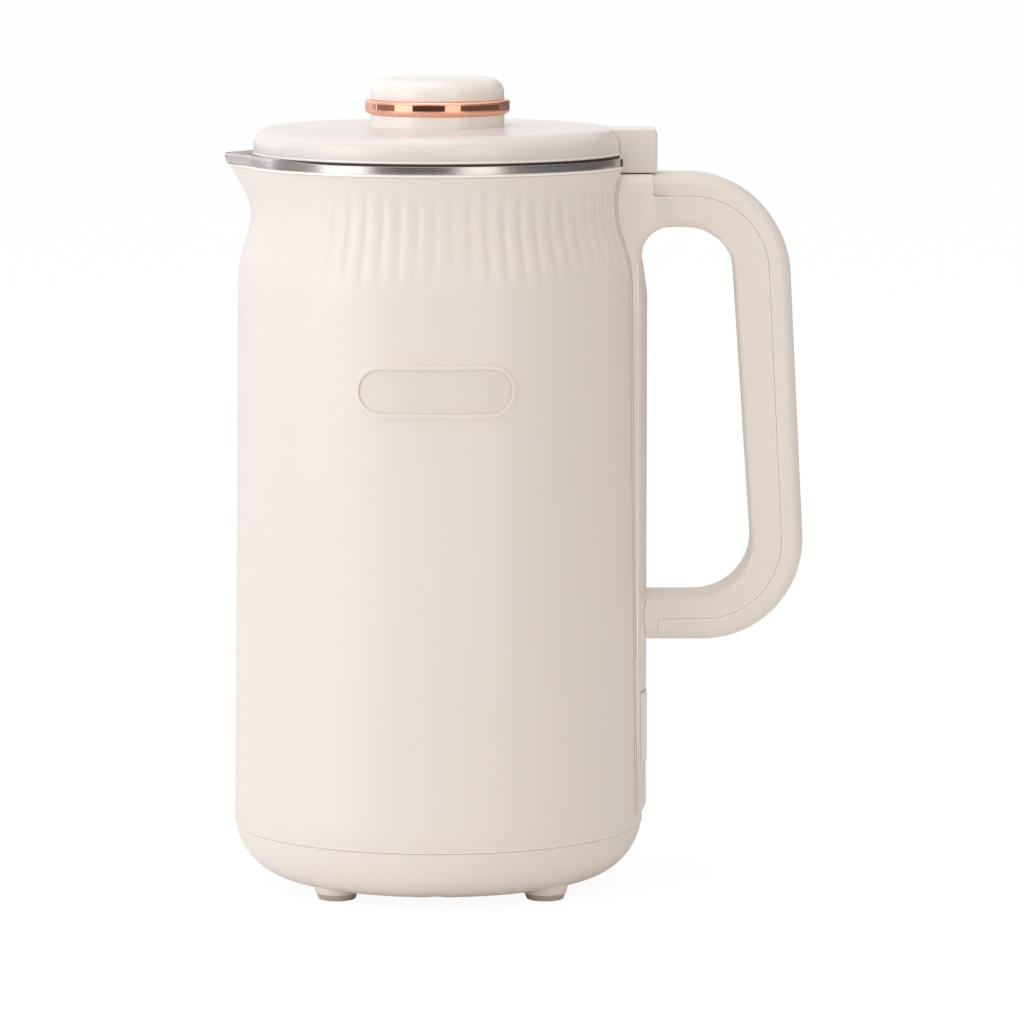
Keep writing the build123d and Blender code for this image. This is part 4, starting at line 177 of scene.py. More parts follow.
# The collar's tone is the knob's plastic made lighter, which paints light into the shade under the ring
COLLAR_PAINTED_LIGHT_TONE = (0.99, 0.93, 0.87)
STEEL_TONE = (0.65, 0.59, 0.555)
POLISH = {"coat": 0.22, "sheen_rough": 0.02}
WINDOW_POLISH = {"coat": 0.6, "sheen_rough": 0.02}
finish_of = {entry["node"]: entry["material_slot"] for entry in frame["record"]["subparts"]}
looks = {
    "shell": moulded("moulded_shell", SHELL_TONE, 0.46, 0.22),
    "shell_edge": moulded("moulded_edge", (0.80, 0.71, 0.625), 0.5, 0.2),
    # A paler copy of the shell's plastic: it paints a highlight on lips, beads and rounded edges
    "light_edge": moulded("painted_highlight_lip", (0.98, 0.90, 0.83), 0.42, 0.1),
    # A near-black sheet that paints the shadow in narrow gaps
    "shade": moulded("painted_gap_shadow", (0.075, 0.05, 0.036), 0.6, 0.2, drift=0.006),
    # A darker cream that paints the shade in seams and creases
    "parting": moulded("painted_seam_shade_line", (0.56, 0.45, 0.37), 0.6, 0.1),
    "lid_gloss": moulded("glossy_lid", LID_TONE, 0.34, 0.0, **POLISH),
    "knob_gloss": moulded("glossy_knob", KNOB_TONE, 0.34, 0.0, **POLISH),
    # A lighter copy of the knob's plastic that paints light into the shade under the ring
    "collar_gloss": moulded("glossy_collar_painted_light", COLLAR_PAINTED_LIGHT_TONE, 0.34, 0.0, **POLISH),
    "liner": moulded("plain_liner", (0.80, 0.78, 0.74), 0.4, 0.2),
    "panel": moulded("dark_window", (0.016, 0.016, 0.018), 0.09, 0.0, drift=0.002, **WINDOW_POLISH),
    "icon": moulded("printed_key", (0.72, 0.72, 0.70), 0.4, 0.0),
    "steel": brushed("brushed_steel", STEEL_TONE, 0.25, (22, 22, 4200), strength=0.4, spread=0.2),
    "cup_steel": brushed("drawn_steel", (0.58, 0.57, 0.56), 0.28, (60, 60, 3000)),
    "blade_steel": brushed("ground_steel", (0.62, 0.61, 0.60), 0.22, (900, 900, 900)),
    "rose_satin": brushed("satin_rose", (0.97, 0.53, 0.385), 0.36, (300, 300, 2500), strength=0.08),
    "rose_mirror": brushed("polished_rose", (0.90, 0.33, 0.19), 0.07, (40, 40, 400), strength=0.02, coat=1.0),
    "pads": moulded("rubber_pads", (0.50, 0.43, 0.375), 0.7, 0.4),
    "silicone": moulded("milky_silicone", (0.78, 0.76, 0.72), 0.42, 0.1),
    "damper_rubber": moulded("black_rubber", (0.02, 0.02, 0.02), 0.75, 0.4, drift=0.004),
    "dark_plastic": moulded("black_moulding", (0.022, 0.022, 0.024), 0.42, 0.35, drift=0.004),
    "circuit_board": moulded("green_laminate", (0.02, 0.13, 0.06), 0.35, 0.1, drift=0.006),
    "screws": brushed("zinc_screws", (0.55, 0.55, 0.54), 0.32, (700, 700, 700)),
    "contacts": brushed("plain_brass", (0.70, 0.62, 0.42), 0.26, (500, 500, 500)),
    "copper": brushed("enamelled_copper", (0.55, 0.22, 0.10), 0.34, (60, 60, 4000), strength=0.6),
    "aluminium": brushed("cast_aluminium", (0.66, 0.66, 0.67), 0.42, (350, 350, 350), strength=0.4),
    "plated_sheet": brushed("plated_sheet", (0.52, 0.53, 0.54), 0.36, (200, 200, 200)),
    "core_iron": brushed("stacked_iron", (0.16, 0.16, 0.17), 0.5, (20, 20, 3500), strength=0.7),
    "bearing_steel": brushed("turned_steel", (0.60, 0.61, 0.62), 0.2, (80, 80, 3000)),
    "spring_steel": brushed("spring_wire", (0.45, 0.45, 0.45), 0.3, (400, 400, 400)),
    "carbon": moulded("carbon_block", (0.03, 0.03, 0.03), 0.6, 0.5, drift=0.006),
}

# Geometry helpers, with their tolerances in metres and angles in degrees
SHARP_ANGLE = 38
TURNED_STEPS = 200
WELD_REACH = 1e-7
CAD_WELD_REACH = 3e-6
SLIVER_REACH = 2e-6
FLAT_ANGLE = 0.4
CUT_REACH = 1e-6
FLAT_WEIGHT = 80
BEVEL_ANGLE = 34
BEVEL_SEGMENTS = 3
SIDEWAYS_SHARE = 0.3
SAME_WAY_SHARE = 0.9


def tangent_arc(start, end, tangent, steps):
    """Points of the arc that leaves start along tangent and reaches end, and its last direction"""
    dx, dy = end[0] - start[0], end[1] - start[1]
    length = hypot(*tangent)
    tx, ty = tangent[0] / length, tangent[1] / length
    nx, ny = -ty, tx
    radius = (dx * dx + dy * dy) / (2 * (dx * nx + dy * ny))
    centre = (start[0] + nx * radius, start[1] + ny * radius)
    first = atan2(start[1] - centre[1], start[0] - centre[0])
    last = atan2(end[1] - centre[1], end[0] - centre[0])
    turn = last - first
    if radius > 0 and turn < 0:
        turn += 2 * pi
    if radius < 0 and turn > 0:
        turn -= 2 * pi
    size = abs(radius)
    points = []
    for number in range(1, steps + 1):
        angle = first + turn * number / steps
        points.append((centre[0] + size * cos(angle), centre[1] + size * sin(angle)))
    side = 1 if radius > 0 else -1
    direction = (-sin(last) * side, cos(last) * side)
    return points, direction


def rounded(corners, steps=6):
    """Closed outline with its corners rounded; each corner is (x, y, radius)"""
    points = []
    count = len(corners)
    for number, (x, y, radius) in enumerate(corners):
        if radius <= 0:
            points.append((x, y))
            continue
        before = Vector(corners[number - 1][:2])
        after = Vector(corners[(number + 1) % count][:2])
        here = Vector((x, y))
        back = (before - here).normalized()
        on = (after - here).normalized()
        half = acos(max(-1.0, min(1.0, back.dot(on)))) / 2
        reach = radius / max(sin(half), 1e-9) * cos(half)
        centre = here + (back + on).normalized() * (radius / sin(half))
        first = here + back * reach - centre
        last = here + on * reach - centre
        start = atan2(first.y, first.x)
        turn = atan2(last.y, last.x) - start
        while turn > pi:
            turn -= 2 * pi
        while turn < -pi:
            turn += 2 * pi
        for step in range(steps + 1):
            angle = start + turn * step / steps
            points.append((centre.x + radius * cos(angle), centre.y + radius * sin(angle)))
    return points


def profile_radius(profile, height):
    """Radius of a profile that runs upwards, at a height"""
    before = profile[0]
    for after in profile:
        if after[1] >= height:
            share = (height - before[1]) / max(after[1] - before[1], 1e-9)
            return before[0] + (after[0] - before[0]) * share
        before = after
    return profile[-1][0]


def finish_shading(made, sharp):
    """Smooth shading, broken at edges sharper than an angle in degrees"""
    made.data.shade_smooth()
    made.data.set_sharp_from_angle(angle=radians(sharp))


def even_shading(made):
    """Lets large faces set the shading where they meet a small rounding, so that flats look flat"""
    weighted = made.modifiers.new("even_shading", "WEIGHTED_NORMAL")
    weighted.keep_sharp = True
    weighted.weight = FLAT_WEIGHT
    bpy.context.view_layer.update()
    state = bpy.context.evaluated_depsgraph_get()
    result = bpy.data.meshes.new_from_object(
        made.evaluated_get(state), preserve_all_data_layers=True, depsgraph=state
    )
    made.modifiers.clear()
    made.data = result


def piece(name, points, faces, look, body, replaced=(), slot=None):
    """Makes a mesh piece from points in millimetres, and lets it ride on its body"""
    mesh = bpy.data.meshes.new(name)
    mesh.from_pydata([place(point) for point in points], [], faces)
    work = bmesh.new()
    work.from_mesh(mesh)
    bmesh.ops.remove_doubles(work, verts=work.verts, dist=WELD_REACH)
    bmesh.ops.recalc_face_normals(work, faces=work.faces)
    work.to_mesh(mesh)
    work.free()
    made = bpy.data.objects.new(name, mesh)
    bpy.context.scene.collection.objects.link(made)
    finish_shading(made, SHARP_ANGLE)
    names = look if isinstance(look, list) else [look]
    for entry in names:
        mesh.materials.append(looks[entry])
    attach(made, body)
    if replaced:
        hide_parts(*replaced)
    return made


def second_look(made, chosen):
    """Gives a piece's second look to the faces whose middle, as a radius and a height, is chosen"""
    for face in made.data.polygons:
        middle = face.center / MM
        if chosen(hypot(middle.x - AXIS_X, middle.y), middle.z):
            face.material_index = 1


def skin(rows, close_rows, close_columns):
    """Points and quads of a grid given as rows of points"""
    points = [point for row in rows for point in row]
    width = len(rows[0])
    faces = []
    for r in range(len(rows) - (0 if close_rows else 1)):
        lower = r * width
        upper = ((r + 1) % len(rows)) * width
        for c in range(width - (0 if close_columns else 1)):
            other = (c + 1) % width
            faces.append((lower + c, lower + other, upper + other, upper + c))
    return points, faces


def capped_skin(rows):
    """Points and faces of a tube given as rows of points, with both of its ends closed"""
    points, faces = skin(rows, False, True)
    width = len(rows[0])
    faces.append(tuple(range(width)))
    faces.append(tuple(range(len(points) - 1, len(points) - 1 - width, -1)))
    return points, faces


def turned(section, angle):
    """A section's points, turned to an angle about the jug's axis"""
    return [(radius * cos(angle), radius * sin(angle), height) for radius, height in section]


def lathe(name, section, look, body, closed=True, **options):
    """Turned piece about the jug's axis"""
    rows = [turned(section, 2 * pi * number / TURNED_STEPS) for number in range(TURNED_STEPS)]
    points, faces = skin(rows, True, closed)
    return piece(name, points, faces, look, body, **options)


def bisected(work, axis, levels):
    """Cuts every face of a mesh at planes across an axis, so that it can bend there"""
    for level in levels:
        across = Vector([1 if number == axis else 0 for number in range(3)])
        geometry = work.verts[:] + work.edges[:] + work.faces[:]
        bmesh.ops.bisect_plane(work, geom=geometry, dist=CUT_REACH, plane_co=across * level, plane_no=across)


def in_order(work):
    """Sorts a mesh by place, because its cuts leave it in another order each run"""
    for items, place_of in (
        (work.verts, lambda vertex: tuple(vertex.co)),
        (work.edges, lambda edge: tuple(edge.verts[0].co + edge.verts[1].co)),
        (work.faces, lambda face: tuple(face.calc_center_median())),
    ):
        for number, item in enumerate(sorted(items, key=place_of)):
            item.index = number
        items.sort()


def close_seam(work, mate, gap, left):
    """Moves the faces that look at a mating part across a narrow gap until little of it is left"""
    shell = bmesh.new()
    shell.from_mesh(frame["nodes"][mate].data)
    tree = BVHTree.FromBMesh(shell)
    shell.free()
    pushes = {}
    for face in work.faces:
        if abs(face.normal.y) > SIDEWAYS_SHARE:
            continue
        start = face.calc_center_median() + face.normal * CUT_REACH
        hit, _, _, distance = tree.ray_cast(start, face.normal, gap * 2)
        if hit is None or distance < left:
            continue
        for vertex in face.verts:
            pushes.setdefault(vertex, []).append((distance - left, face.normal.copy()))
    for vertex, steps in pushes.items():
        distinct = []
        for reach, normal in steps:
            if all(normal.dot(other) < SAME_WAY_SHARE for _, other in distinct):
                distinct.append((reach, normal))
        for reach, normal in distinct:
            vertex.co += normal * reach


def dressed(name, look, body, width, sharp=30, clamp=True, mate=None, bend=None, lip=None):
    """Copy of a CAD node's form with its sharp edges rounded off, which stands for the node"""
    mesh = frame["nodes"][name].data.copy()
    mesh.materials.clear()
    work = bmesh.new()
    work.from_mesh(mesh)
    bmesh.ops.remove_doubles(work, verts=work.verts, dist=CAD_WELD_REACH)
    bmesh.ops.dissolve_degenerate(work, edges=work.edges, dist=SLIVER_REACH)
    bmesh.ops.dissolve_limit(work, angle_limit=radians(FLAT_ANGLE), verts=work.verts, edges=work.edges)
    bmesh.ops.recalc_face_normals(work, faces=work.faces)
    if mate:
        close_seam(work, mate, SEAM_GAP * MM, SEAM_LEFT * MM)
    corner = radians(BEVEL_ANGLE)
    edges = [edge for edge in work.edges if edge.is_manifold and edge.calc_face_angle(0.0) > corner]
    bmesh.ops.bevel(
        work,
        geom=edges,
        offset=width * MM,
        offset_type="OFFSET",
        segments=BEVEL_SEGMENTS,
        profile=0.5,
        affect="EDGES",
        clamp_overlap=clamp,
        material=1 if lip else -1,
    )
    if bend:
        for axis, levels in bend["cuts"]:
            bisected(work, axis, levels)
        in_order(work)
        for vertex in work.verts:
            vertex.co = bend["move"](vertex.co)
    work.to_mesh(mesh)
    work.free()
    made = bpy.data.objects.new(f"{name}_dressed", mesh)
    bpy.context.scene.collection.objects.link(made)
    finish_shading(made, sharp)
    mesh.materials.append(looks[look])
    # The lip look, where one is given, goes on the bevel faces: a paler tone that paints a highlight along
    # the rounded edges
    if lip:
        mesh.materials.append(looks[lip])
    even_shading(made)
    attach(made, body)
    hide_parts(name)
    return made


def carve(target, cutters):
    """Cuts closed shapes, each given as points and faces, out of a piece"""
    for number, (points, faces) in enumerate(cutters):
        mesh = bpy.data.meshes.new(f"cutter_{number}")
        mesh.from_pydata([place(point) for point in points], [], faces)
        work = bmesh.new()
        work.from_mesh(mesh)
        bmesh.ops.recalc_face_normals(work, faces=work.faces)
        work.to_mesh(mesh)
        work.free()
        cutter = bpy.data.objects.new(f"cutter_{number}", mesh)
        bpy.context.scene.collection.objects.link(cutter)
        cut = target.modifiers.new("cut", "BOOLEAN")
        cut.operation = "DIFFERENCE"
        cut.solver = "EXACT"
        cut.object = cutter
        bpy.context.view_layer.update()
        state = bpy.context.evaluated_depsgraph_get()
        result = bpy.data.meshes.new_from_object(target.evaluated_get(state))
        target.modifiers.clear()
        target.data = result
        bpy.data.objects.remove(cutter)
    finish_shading(target, SHARP_ANGLE)


def prism(outline, lift, low, high):
    """Closed prism: outline points go through lift(a, b, depth) at two depths"""
    count = len(outline)
    points = [lift(a, b, low) for a, b in outline] + [lift(a, b, high) for a, b in outline]
    faces = [tuple(range(count)), tuple(range(2 * count - 1, count - 1, -1))]
    for number in range(count):
        other = (number + 1) % count
        faces.append((number, other, other + count, number + count))
    return points, faces


def block(low, high):
    """Closed box between two corners"""
    outline = [(low[0], low[1]), (high[0], low[1]), (high[0], high[1]), (low[0], high[1])]
    return prism(outline, lambda a, b, depth: (a, b, depth), low[2], high[2])


# Outer housing: one closed skin with the neck's flutes, the pouring lip and the CAD housing's openings
SIDE_STEPS = 24
INNER_EVERY = 6
side_points = []
for step in range(SIDE_STEPS + 1):
    radius = SEAM_RADIUS + (SHOULDER[0] - SEAM_RADIUS) * step / SIDE_STEPS
    height = SEAM_HEIGHT + (SHOULDER[1] - SEAM_HEIGHT) * step / SIDE_STEPS
    side_points.append((radius, height))
side_direction = (SHOULDER[0] - SEAM_RADIUS, SHOULDER[1] - SEAM_HEIGHT)
shoulder_points, turn = tangent_arc(SHOULDER, NECK_TURN, side_direction, 20)
neck_points, turn = tangent_arc(NECK_TURN, WAIST, turn, 16)
mouth_points, _ = tangent_arc(WAIST, MOUTH, turn, 22)
housing_profile = side_points + shoulder_points + neck_points + mouth_points

SPOUT_ANGLE = radians(38.0)
SPOUT_TIP = 8.0
SPOUT_START = 205
SPOUT_FOOT_REACH = 58.5
SPOUT_RISE = 13.0
SPOUT_ROOT_SHARE = 0.96
SPOUT_FILL = 4.0


def spout_reach_at(angle, reach, root_radius):
    """Distance from the axis to the lip's outline, at an angle from the spout's middle"""
    angle = abs(angle)
    if angle >= SPOUT_ANGLE:
        return 0.0
    root = (root_radius * cos(SPOUT_ANGLE), root_radius * sin(SPOUT_ANGLE))
    centre = reach - SPOUT_TIP
    dx, dy = root[0] - centre, root[1]
    touch_angle = atan2(dy, dx) - acos(min(1.0, SPOUT_TIP / hypot(dx, dy)))
    touch = (centre + SPOUT_TIP * cos(touch_angle), SPOUT_TIP * sin(touch_angle))
    if angle <= atan2(touch[1], touch[0]):
        under = SPOUT_TIP * SPOUT_TIP - (centre * sin(angle)) ** 2
        return centre * cos(angle) + sqrt(max(under, 0.0))
    ex, ey = root[0] - touch[0], root[1] - touch[1]
    cross = cos(angle) * ey - sin(angle) * ex
    return (touch[0] * ey - touch[1] * ex) / cross


def soft_max(first, second, width):
    """Larger of two lengths, with the corner between them filled softly"""
    share = max(width - abs(first - second), 0.0) / width
    return max(first, second) + share * share * width / 4


def around(angle):
    """Angle from the spout's middle, which lies along -X"""
    turn = (angle - pi) % (2 * pi)
    return turn - 2 * pi if turn > pi else turn


# Flutes: the heights, and the degrees from the spout, over which they come in and fade out
FLUTES = 68
FLUTE_DEPTH = 0.38
FLUTE_SHARPNESS = 1.7
FLUTE_FOOT = (194.5, 207.0)
FLUTE_HEAD = (219.5, 229.5)
FLUTE_FIRST = (22, 44)
FLUTE_LAST = (160, 164)
STEPS_PER_FLUTE = 10


def housing_radius(angle, radius, height):
    """Outer radius of the housing at an angle and height"""
    from_spout = around(angle)
    depth = FLUTE_DEPTH * smooth(*FLUTE_FOOT, height) * (1 - smooth(*FLUTE_HEAD, height))
    depth *= smooth(radians(FLUTE_FIRST[0]), radians(FLUTE_FIRST[1]), abs(from_spout))
    depth *= 1 - smooth(radians(FLUTE_LAST[0]), radians(FLUTE_LAST[1]), abs(from_spout))
    radius -= depth * (0.5 + 0.5 * cos(FLUTES * angle)) ** FLUTE_SHARPNESS
    reach = SPOUT_LIP - (MOUTH[1] - height) * (SPOUT_LIP - SPOUT_FOOT_REACH) / SPOUT_RISE
    if height > SPOUT_START:
        lip = spout_reach_at(from_spout, reach, WAIST[0] * SPOUT_ROOT_SHARE)
        if lip > radius - SPOUT_FILL:
            radius = soft_max(radius, lip, SPOUT_FILL)
    return radius


# Roundings at the housing's two ends, as steps inward and away from the end
FOOT_ROUND = ((0.34, 0.0), (0.1, 0.12), (0.0, 0.36))
MOUTH_ROUND = ((0.0, 0.45), (0.12, 0.12), (0.45, 0.0))
COLUMNS = FLUTES * STEPS_PER_FLUTE
rows = []
for column in range(COLUMNS):
    angle = 2 * pi * column / COLUMNS
    top_radius = housing_radius(angle, *MOUTH)
    outline = [(housing_radius(angle, radius, height), height) for radius, height in housing_profile]
    outline[:1] = [(SEAM_RADIUS - inward, SEAM_FOOT + up) for inward, up in FOOT_ROUND]
    outline[-1:] = [(top_radius - inward, MOUTH[1] - down) for inward, down in MOUTH_ROUND]
    inner = [
        (housing_radius(angle, radius, height) - WALL, height)
        for radius, height in housing_profile[::-INNER_EVERY]
    ]
    inner[-1] = (SEAM_RADIUS - WALL, SEAM_FOOT)
    inner[0] = (top_radius - WALL, MOUTH[1])
    rows.append(turned(outline + inner, angle))
points, faces = skin(rows, True, True)
housing = piece("housing_shell", points, faces, ["shell", "light_edge"], "jug", replaced=["outer_housing"])

# Openings of the housing: touch panel, tab and power inlet; a reach is from the axis, inside and outside
PANEL_HALF = 20
PANEL_FOOT = 79
PANEL_TOP = 157
PANEL_ROUND = 7
PANEL_REACH = (50, 70)
TAB_REACH = (50, 70)
TAB_CUT_TOP = 240
INLET_HALF = 13.65
INLET_FOOT = 42.1
INLET_TOP = 61.9
INLET_REACH = (46, 72)
panel_corners = [
    (-PANEL_HALF, PANEL_FOOT, PANEL_ROUND),
    (PANEL_HALF, PANEL_FOOT, PANEL_ROUND),
    (PANEL_HALF, PANEL_TOP, PANEL_ROUND),
    (-PANEL_HALF, PANEL_TOP, PANEL_ROUND),
]
carve(
    housing,
    [
        prism(rounded(panel_corners, steps=10), lambda a, b, depth: (a, depth, b), *PANEL_REACH),
        block((TAB_REACH[0], -STRIP_HALF, HANDLE_TOP), (TAB_REACH[1], STRIP_HALF, TAB_CUT_TOP)),
        block((INLET_REACH[0], -INLET_HALF, INLET_FOOT), (INLET_REACH[1], INLET_HALF, INLET_TOP)),
    ],
)
# The housing's foot lip takes the paler look, a painted highlight along the seam
LIP_TOP = SEAM_FOOT + 0.5
LIP_REACH = SEAM_RADIUS - 0.4
second_look(housing, lambda radius, height: height < LIP_TOP and radius > LIP_REACH)

# Steel rim: a thin wall that follows the lip, over a ledge that seats on the cup's flange
RIM_RADIUS = MOUTH[0]
RIM_SPOUT = 68.0
RIM_FILL = 0.6
RIM_DROP = 0.95
RIM_DROP_SPAN = (radians(30), radians(60))
RIM_STEPS = 520
RIM_GAP_HALF = 17.5
NOTCH = asin(RIM_GAP_HALF / RIM_RADIUS)
LEDGE_RADIUS = 57.6
LEDGE_TOP = 232.1
RIM_LAP = 230.6
# Steps in from the wall's foot with their heights, shares of its flare with theirs, and steps in from
# its outer face and down from its top
RIM_SEAT = ((0.5, 231.3), (0.1, 231.4))
RIM_FLARE_SHARES = ((0.35, 231.9), (0.72, 232.9), (0.93, 234.0))
RIM_EDGE = ((0.01, 0.12), (0.05, 0.03), (0.14, 0.0), (0.46, 0.0), (0.55, 0.03), (0.6, 0.12))
RIM_INSIDE = ((0.8, 232.35), (1.05, LEDGE_TOP))
# The mouth's pale lip, a bead whose paler tone paints a highlight along the mouth: shares of the rim's flare,
# steps outward and heights
MOUTH_LIP_SHARES = (
    (0.0, -0.1, 231.3),
    (0.0, 0.38, 231.3),
    (0.33, 0.4, 231.8),
    (0.37, 0.3, 231.98),
    (0.38, 0.1, 232.02),
    (0.3, -0.1, 231.9),
)


def rim_reach(from_spout, lip):
    """Radius of the rim at an angle from the spout, whose own reach is lip"""
    reach = max(RIM_RADIUS, spout_reach_at(from_spout, lip, RIM_RADIUS * SPOUT_ROOT_SHARE))
    return soft_max(reach, RIM_RADIUS, RIM_FILL) if reach > RIM_RADIUS else reach


rim_rows = []
lip_rows = []
for step in range(RIM_STEPS + 1):
    angle = NOTCH + (2 * pi - 2 * NOTCH) * step / RIM_STEPS
    from_spout = around(angle)
    low = rim_reach(from_spout, SPOUT_LIP)
    high = rim_reach(from_spout, RIM_SPOUT)
    flare = high - low
    top = RIM_TOP - RIM_DROP * smooth(*RIM_DROP_SPAN, abs(from_spout))
    section = [(LEDGE_RADIUS, RIM_LAP), (LEDGE_RADIUS, MOUTH[1])]
    section += [(low - inward, height) for inward, height in RIM_SEAT]
    section += [(low + flare * share, height) for share, height in RIM_FLARE_SHARES]
    section += [(high - inward, top - down) for inward, down in RIM_EDGE]
    section += [(low - inward, height) for inward, height in RIM_INSIDE]
    section += [(LEDGE_RADIUS, LEDGE_TOP)]
    rim_rows.append(turned(section, angle))
    lip_section = [(low + flare * share + out, height) for share, out, height in MOUTH_LIP_SHARES]
    lip_rows.append(turned(lip_section, angle))
piece("rim_wall", *capped_skin(rim_rows), "steel", "jug", replaced=["spout_rim"])
piece("mouth_highlight_lip", *capped_skin(lip_rows), "light_edge", "jug", slot="shell")
LEDGE_SECTION = [
    (54.2, 230.5),
    (LEDGE_RADIUS, 230.5),
    (LEDGE_RADIUS, LEDGE_TOP),
    (54.5, LEDGE_TOP),
    (54.2, 231.8),
]
lathe("rim_ledge", LEDGE_SECTION, "steel", "jug")

# Lid: a crowned cover with a rolled edge, a bead below it whose paler tone paints a highlight, and a dark
# ring that paints the shadow in the gap over the rim
LID_PEAK = (0.0, 244.2)
LID_CROWN_END = (53.8, 243.6)
LID_EDGE_END = (58.8, 238.6)
LID_FOOT = (58.9, 235.0)
LID_BEAD = [
    (58.8, 236.25),
    (58.72, 236.02),
    (58.74, 235.9),
    (58.94, 235.82),
    (59.03, 235.62),
    (58.97, 235.36),
    (58.75, 235.24),
]
LID_INSIDE = [(58.3, 235.2), (56.4, 235.2), (56.4, 241.2), (2.05, 241.2), (0.0, 241.2)]
BEAD_TOP = 236.1
BEAD_REACH = 58.5
SHADE_SECTION = [(57.8, 234.2), (58.55, 234.2), (58.55, 235.2), (57.8, 235.2)]
lid_crown, turn = tangent_arc(LID_PEAK, LID_CROWN_END, (1, 0), 14)
lid_edge, _ = tangent_arc(lid_crown[-1], LID_EDGE_END, turn, 16)
lid_cover = lathe(
    "lid_cover",
    [LID_PEAK] + lid_crown + lid_edge + LID_BEAD + LID_INSIDE,
    ["lid_gloss", "light_edge"],
    "lid",
    closed=False,
    slot="lid_gloss",
    replaced=["lid_shell"],
)
# The bead's faces take the paler look, a painted highlight
second_look(lid_cover, lambda radius, height: height < BEAD_TOP and radius > BEAD_REACH)
# A dark ring under the lid's edge paints the shadow in the gap over the rim
lathe("lid_shade", SHADE_SECTION, "shade", "lid", slot="damper_rubber")

# Knob: a collar on the lid, in a lighter copy of the knob's plastic that paints light into the ring's shade,
# and a domed cap over the ring
COLLAR_CORNERS = [(2.1, 243.6, 0), (21.4, 243.6, 0), (21.4, 247.9, 0.3), (2.1, 247.9, 0)]
CAP_PEAK = (0.0, 259.9)
CAP_CROWN_END = (17.1, 259.4)
CAP_EDGE_END = (21.3, 255.2)
CAP_FOOT = [(21.3, 252.9), (21.18, 252.6), (20.9, 252.5), (18.9, 252.5), (18.9, 247.95), (0.0, 247.95)]
lathe(
    "knob_neck", rounded(COLLAR_CORNERS), "collar_gloss", "lid", slot="lid_gloss", replaced=["knob_collar"]
)
cap_crown, turn = tangent_arc(CAP_PEAK, CAP_CROWN_END, (1, 0), 10)
cap_edge, _ = tangent_arc(cap_crown[-1], CAP_EDGE_END, turn, 14)
cap_section = [CAP_PEAK] + cap_crown + cap_edge + CAP_FOOT
lathe("knob_dome", cap_section, "knob_gloss", "lid", closed=False, slot="lid_gloss", replaced=["knob_cap"])

# Knob's ring: polished windows let in at the front and back of a rounded satin band
RING_BORE = 19.0
RING_OUTER = 23.1
RING_FOOT = 247.95
RING_TOP = 252.5
RING_STEPS = 240
WINDOW_RADIUS = 22.7
WINDOW_FOOT = 249.65
WINDOW_TOP = 251.5
WINDOW_SPAN = radians(61)
WINDOW_END = 0.02
WINDOW_MATCH = 0.08
# How far beyond the windows, inward and in height, the band is filled up between them
WINDOW_MARGIN = (0.1, 0.11)
ring_section = rounded(
    [
        (RING_BORE, RING_FOOT, 0),
        (RING_OUTER, RING_FOOT, 1.5),
        (RING_OUTER, WINDOW_FOOT, 0.1),
        (WINDOW_RADIUS, WINDOW_FOOT, 0),
        (WINDOW_RADIUS, WINDOW_TOP, 0),
        (RING_OUTER, WINDOW_TOP, 0.1),
        (RING_OUTER, RING_TOP, 0.85),
        (RING_BORE, RING_TOP, 0),
    ],
    steps=8,
)
ring_rows = []
for step in range(RING_STEPS):
    angle = 2 * pi * step / RING_STEPS
    from_middle = acos(min(abs(sin(angle)), 1.0))
    filled = smooth(WINDOW_SPAN - WINDOW_END, WINDOW_SPAN + WINDOW_END, from_middle)
    section = []
    for radius, height in ring_section:
        within = WINDOW_FOOT - WINDOW_MARGIN[1] < height < WINDOW_TOP + WINDOW_MARGIN[1]
        if radius > WINDOW_RADIUS - WINDOW_MARGIN[0] and within:
            radius += (RING_OUTER - radius) * filled
        section.append((radius, height))
    ring_rows.append(turned(section, angle))
points, faces = skin(ring_rows, True, True)
band_looks = ["rose_satin", "rose_mirror"]
knob_band = piece("knob_band", points, faces, band_looks, "lid", slot="rose_metal", replaced=["knob_ring"])
second_look(
    knob_band,
    lambda radius, height: WINDOW_FOOT < height < WINDOW_TOP and abs(radius - WINDOW_RADIUS) < WINDOW_MATCH,
)

# Back strip: its face is a shallow curve, and its long edges lean in towards it
CREST = 67.1
CREST_CURVE = 48.0
LEAN_HALF = 14.5
FOOT_CLEARANCE = 0.1
LEAN_LEAST = 0.5
# Heights between which the strip's sides stay upright: at the top, and at the lower limb and the inlet
HELD_TOP = (176, 203)
HELD_SPANS = ((72, 77, 97, 104), (33, 38, 66, 71))


def strip_foot(height):
    """Where the strip's side meets the housing"""
    return sqrt(profile_radius(housing_profile, height) ** 2 - STRIP_HALF ** 2)


def crest_at(across):
    """How far out the strip's face lies at a distance from its middle"""
    across = min(abs(across), STRIP_HALF)
    return CREST - CREST_CURVE + sqrt(CREST_CURVE ** 2 - across ** 2)


# Handle's loop, and its finger opening, whose edge is tighter than the handle's outside
LOOP_LOW = 79.9
LOOP_REACH = 118.544
LOOP_LEAN = radians(2.87)
LOOP_HALF = 12.0
LOOP_ROUND = 4.0
INNER_ROUND = 1.2
ROUND_CHANGE = (79, 93)
EDGE_MATCH = 0.25
EDGE_SPAN = (LOOP_HALF - LOOP_ROUND - 0.1, LOOP_HALF + 0.05)
OPENING_START = 62.0
OPENING_TOP = HANDLE_TOP - 17.0
OPENING_FOOT = LOOP_LOW + 14.3
GRIP_FOOT = 16.0
GRIP_TOP = 18.1


def back_line(height):
    """Reach of the handle's straight outer line, carried on to any height"""
    return LOOP_REACH - (height - LOOP_LOW) * tan(LOOP_LEAN)


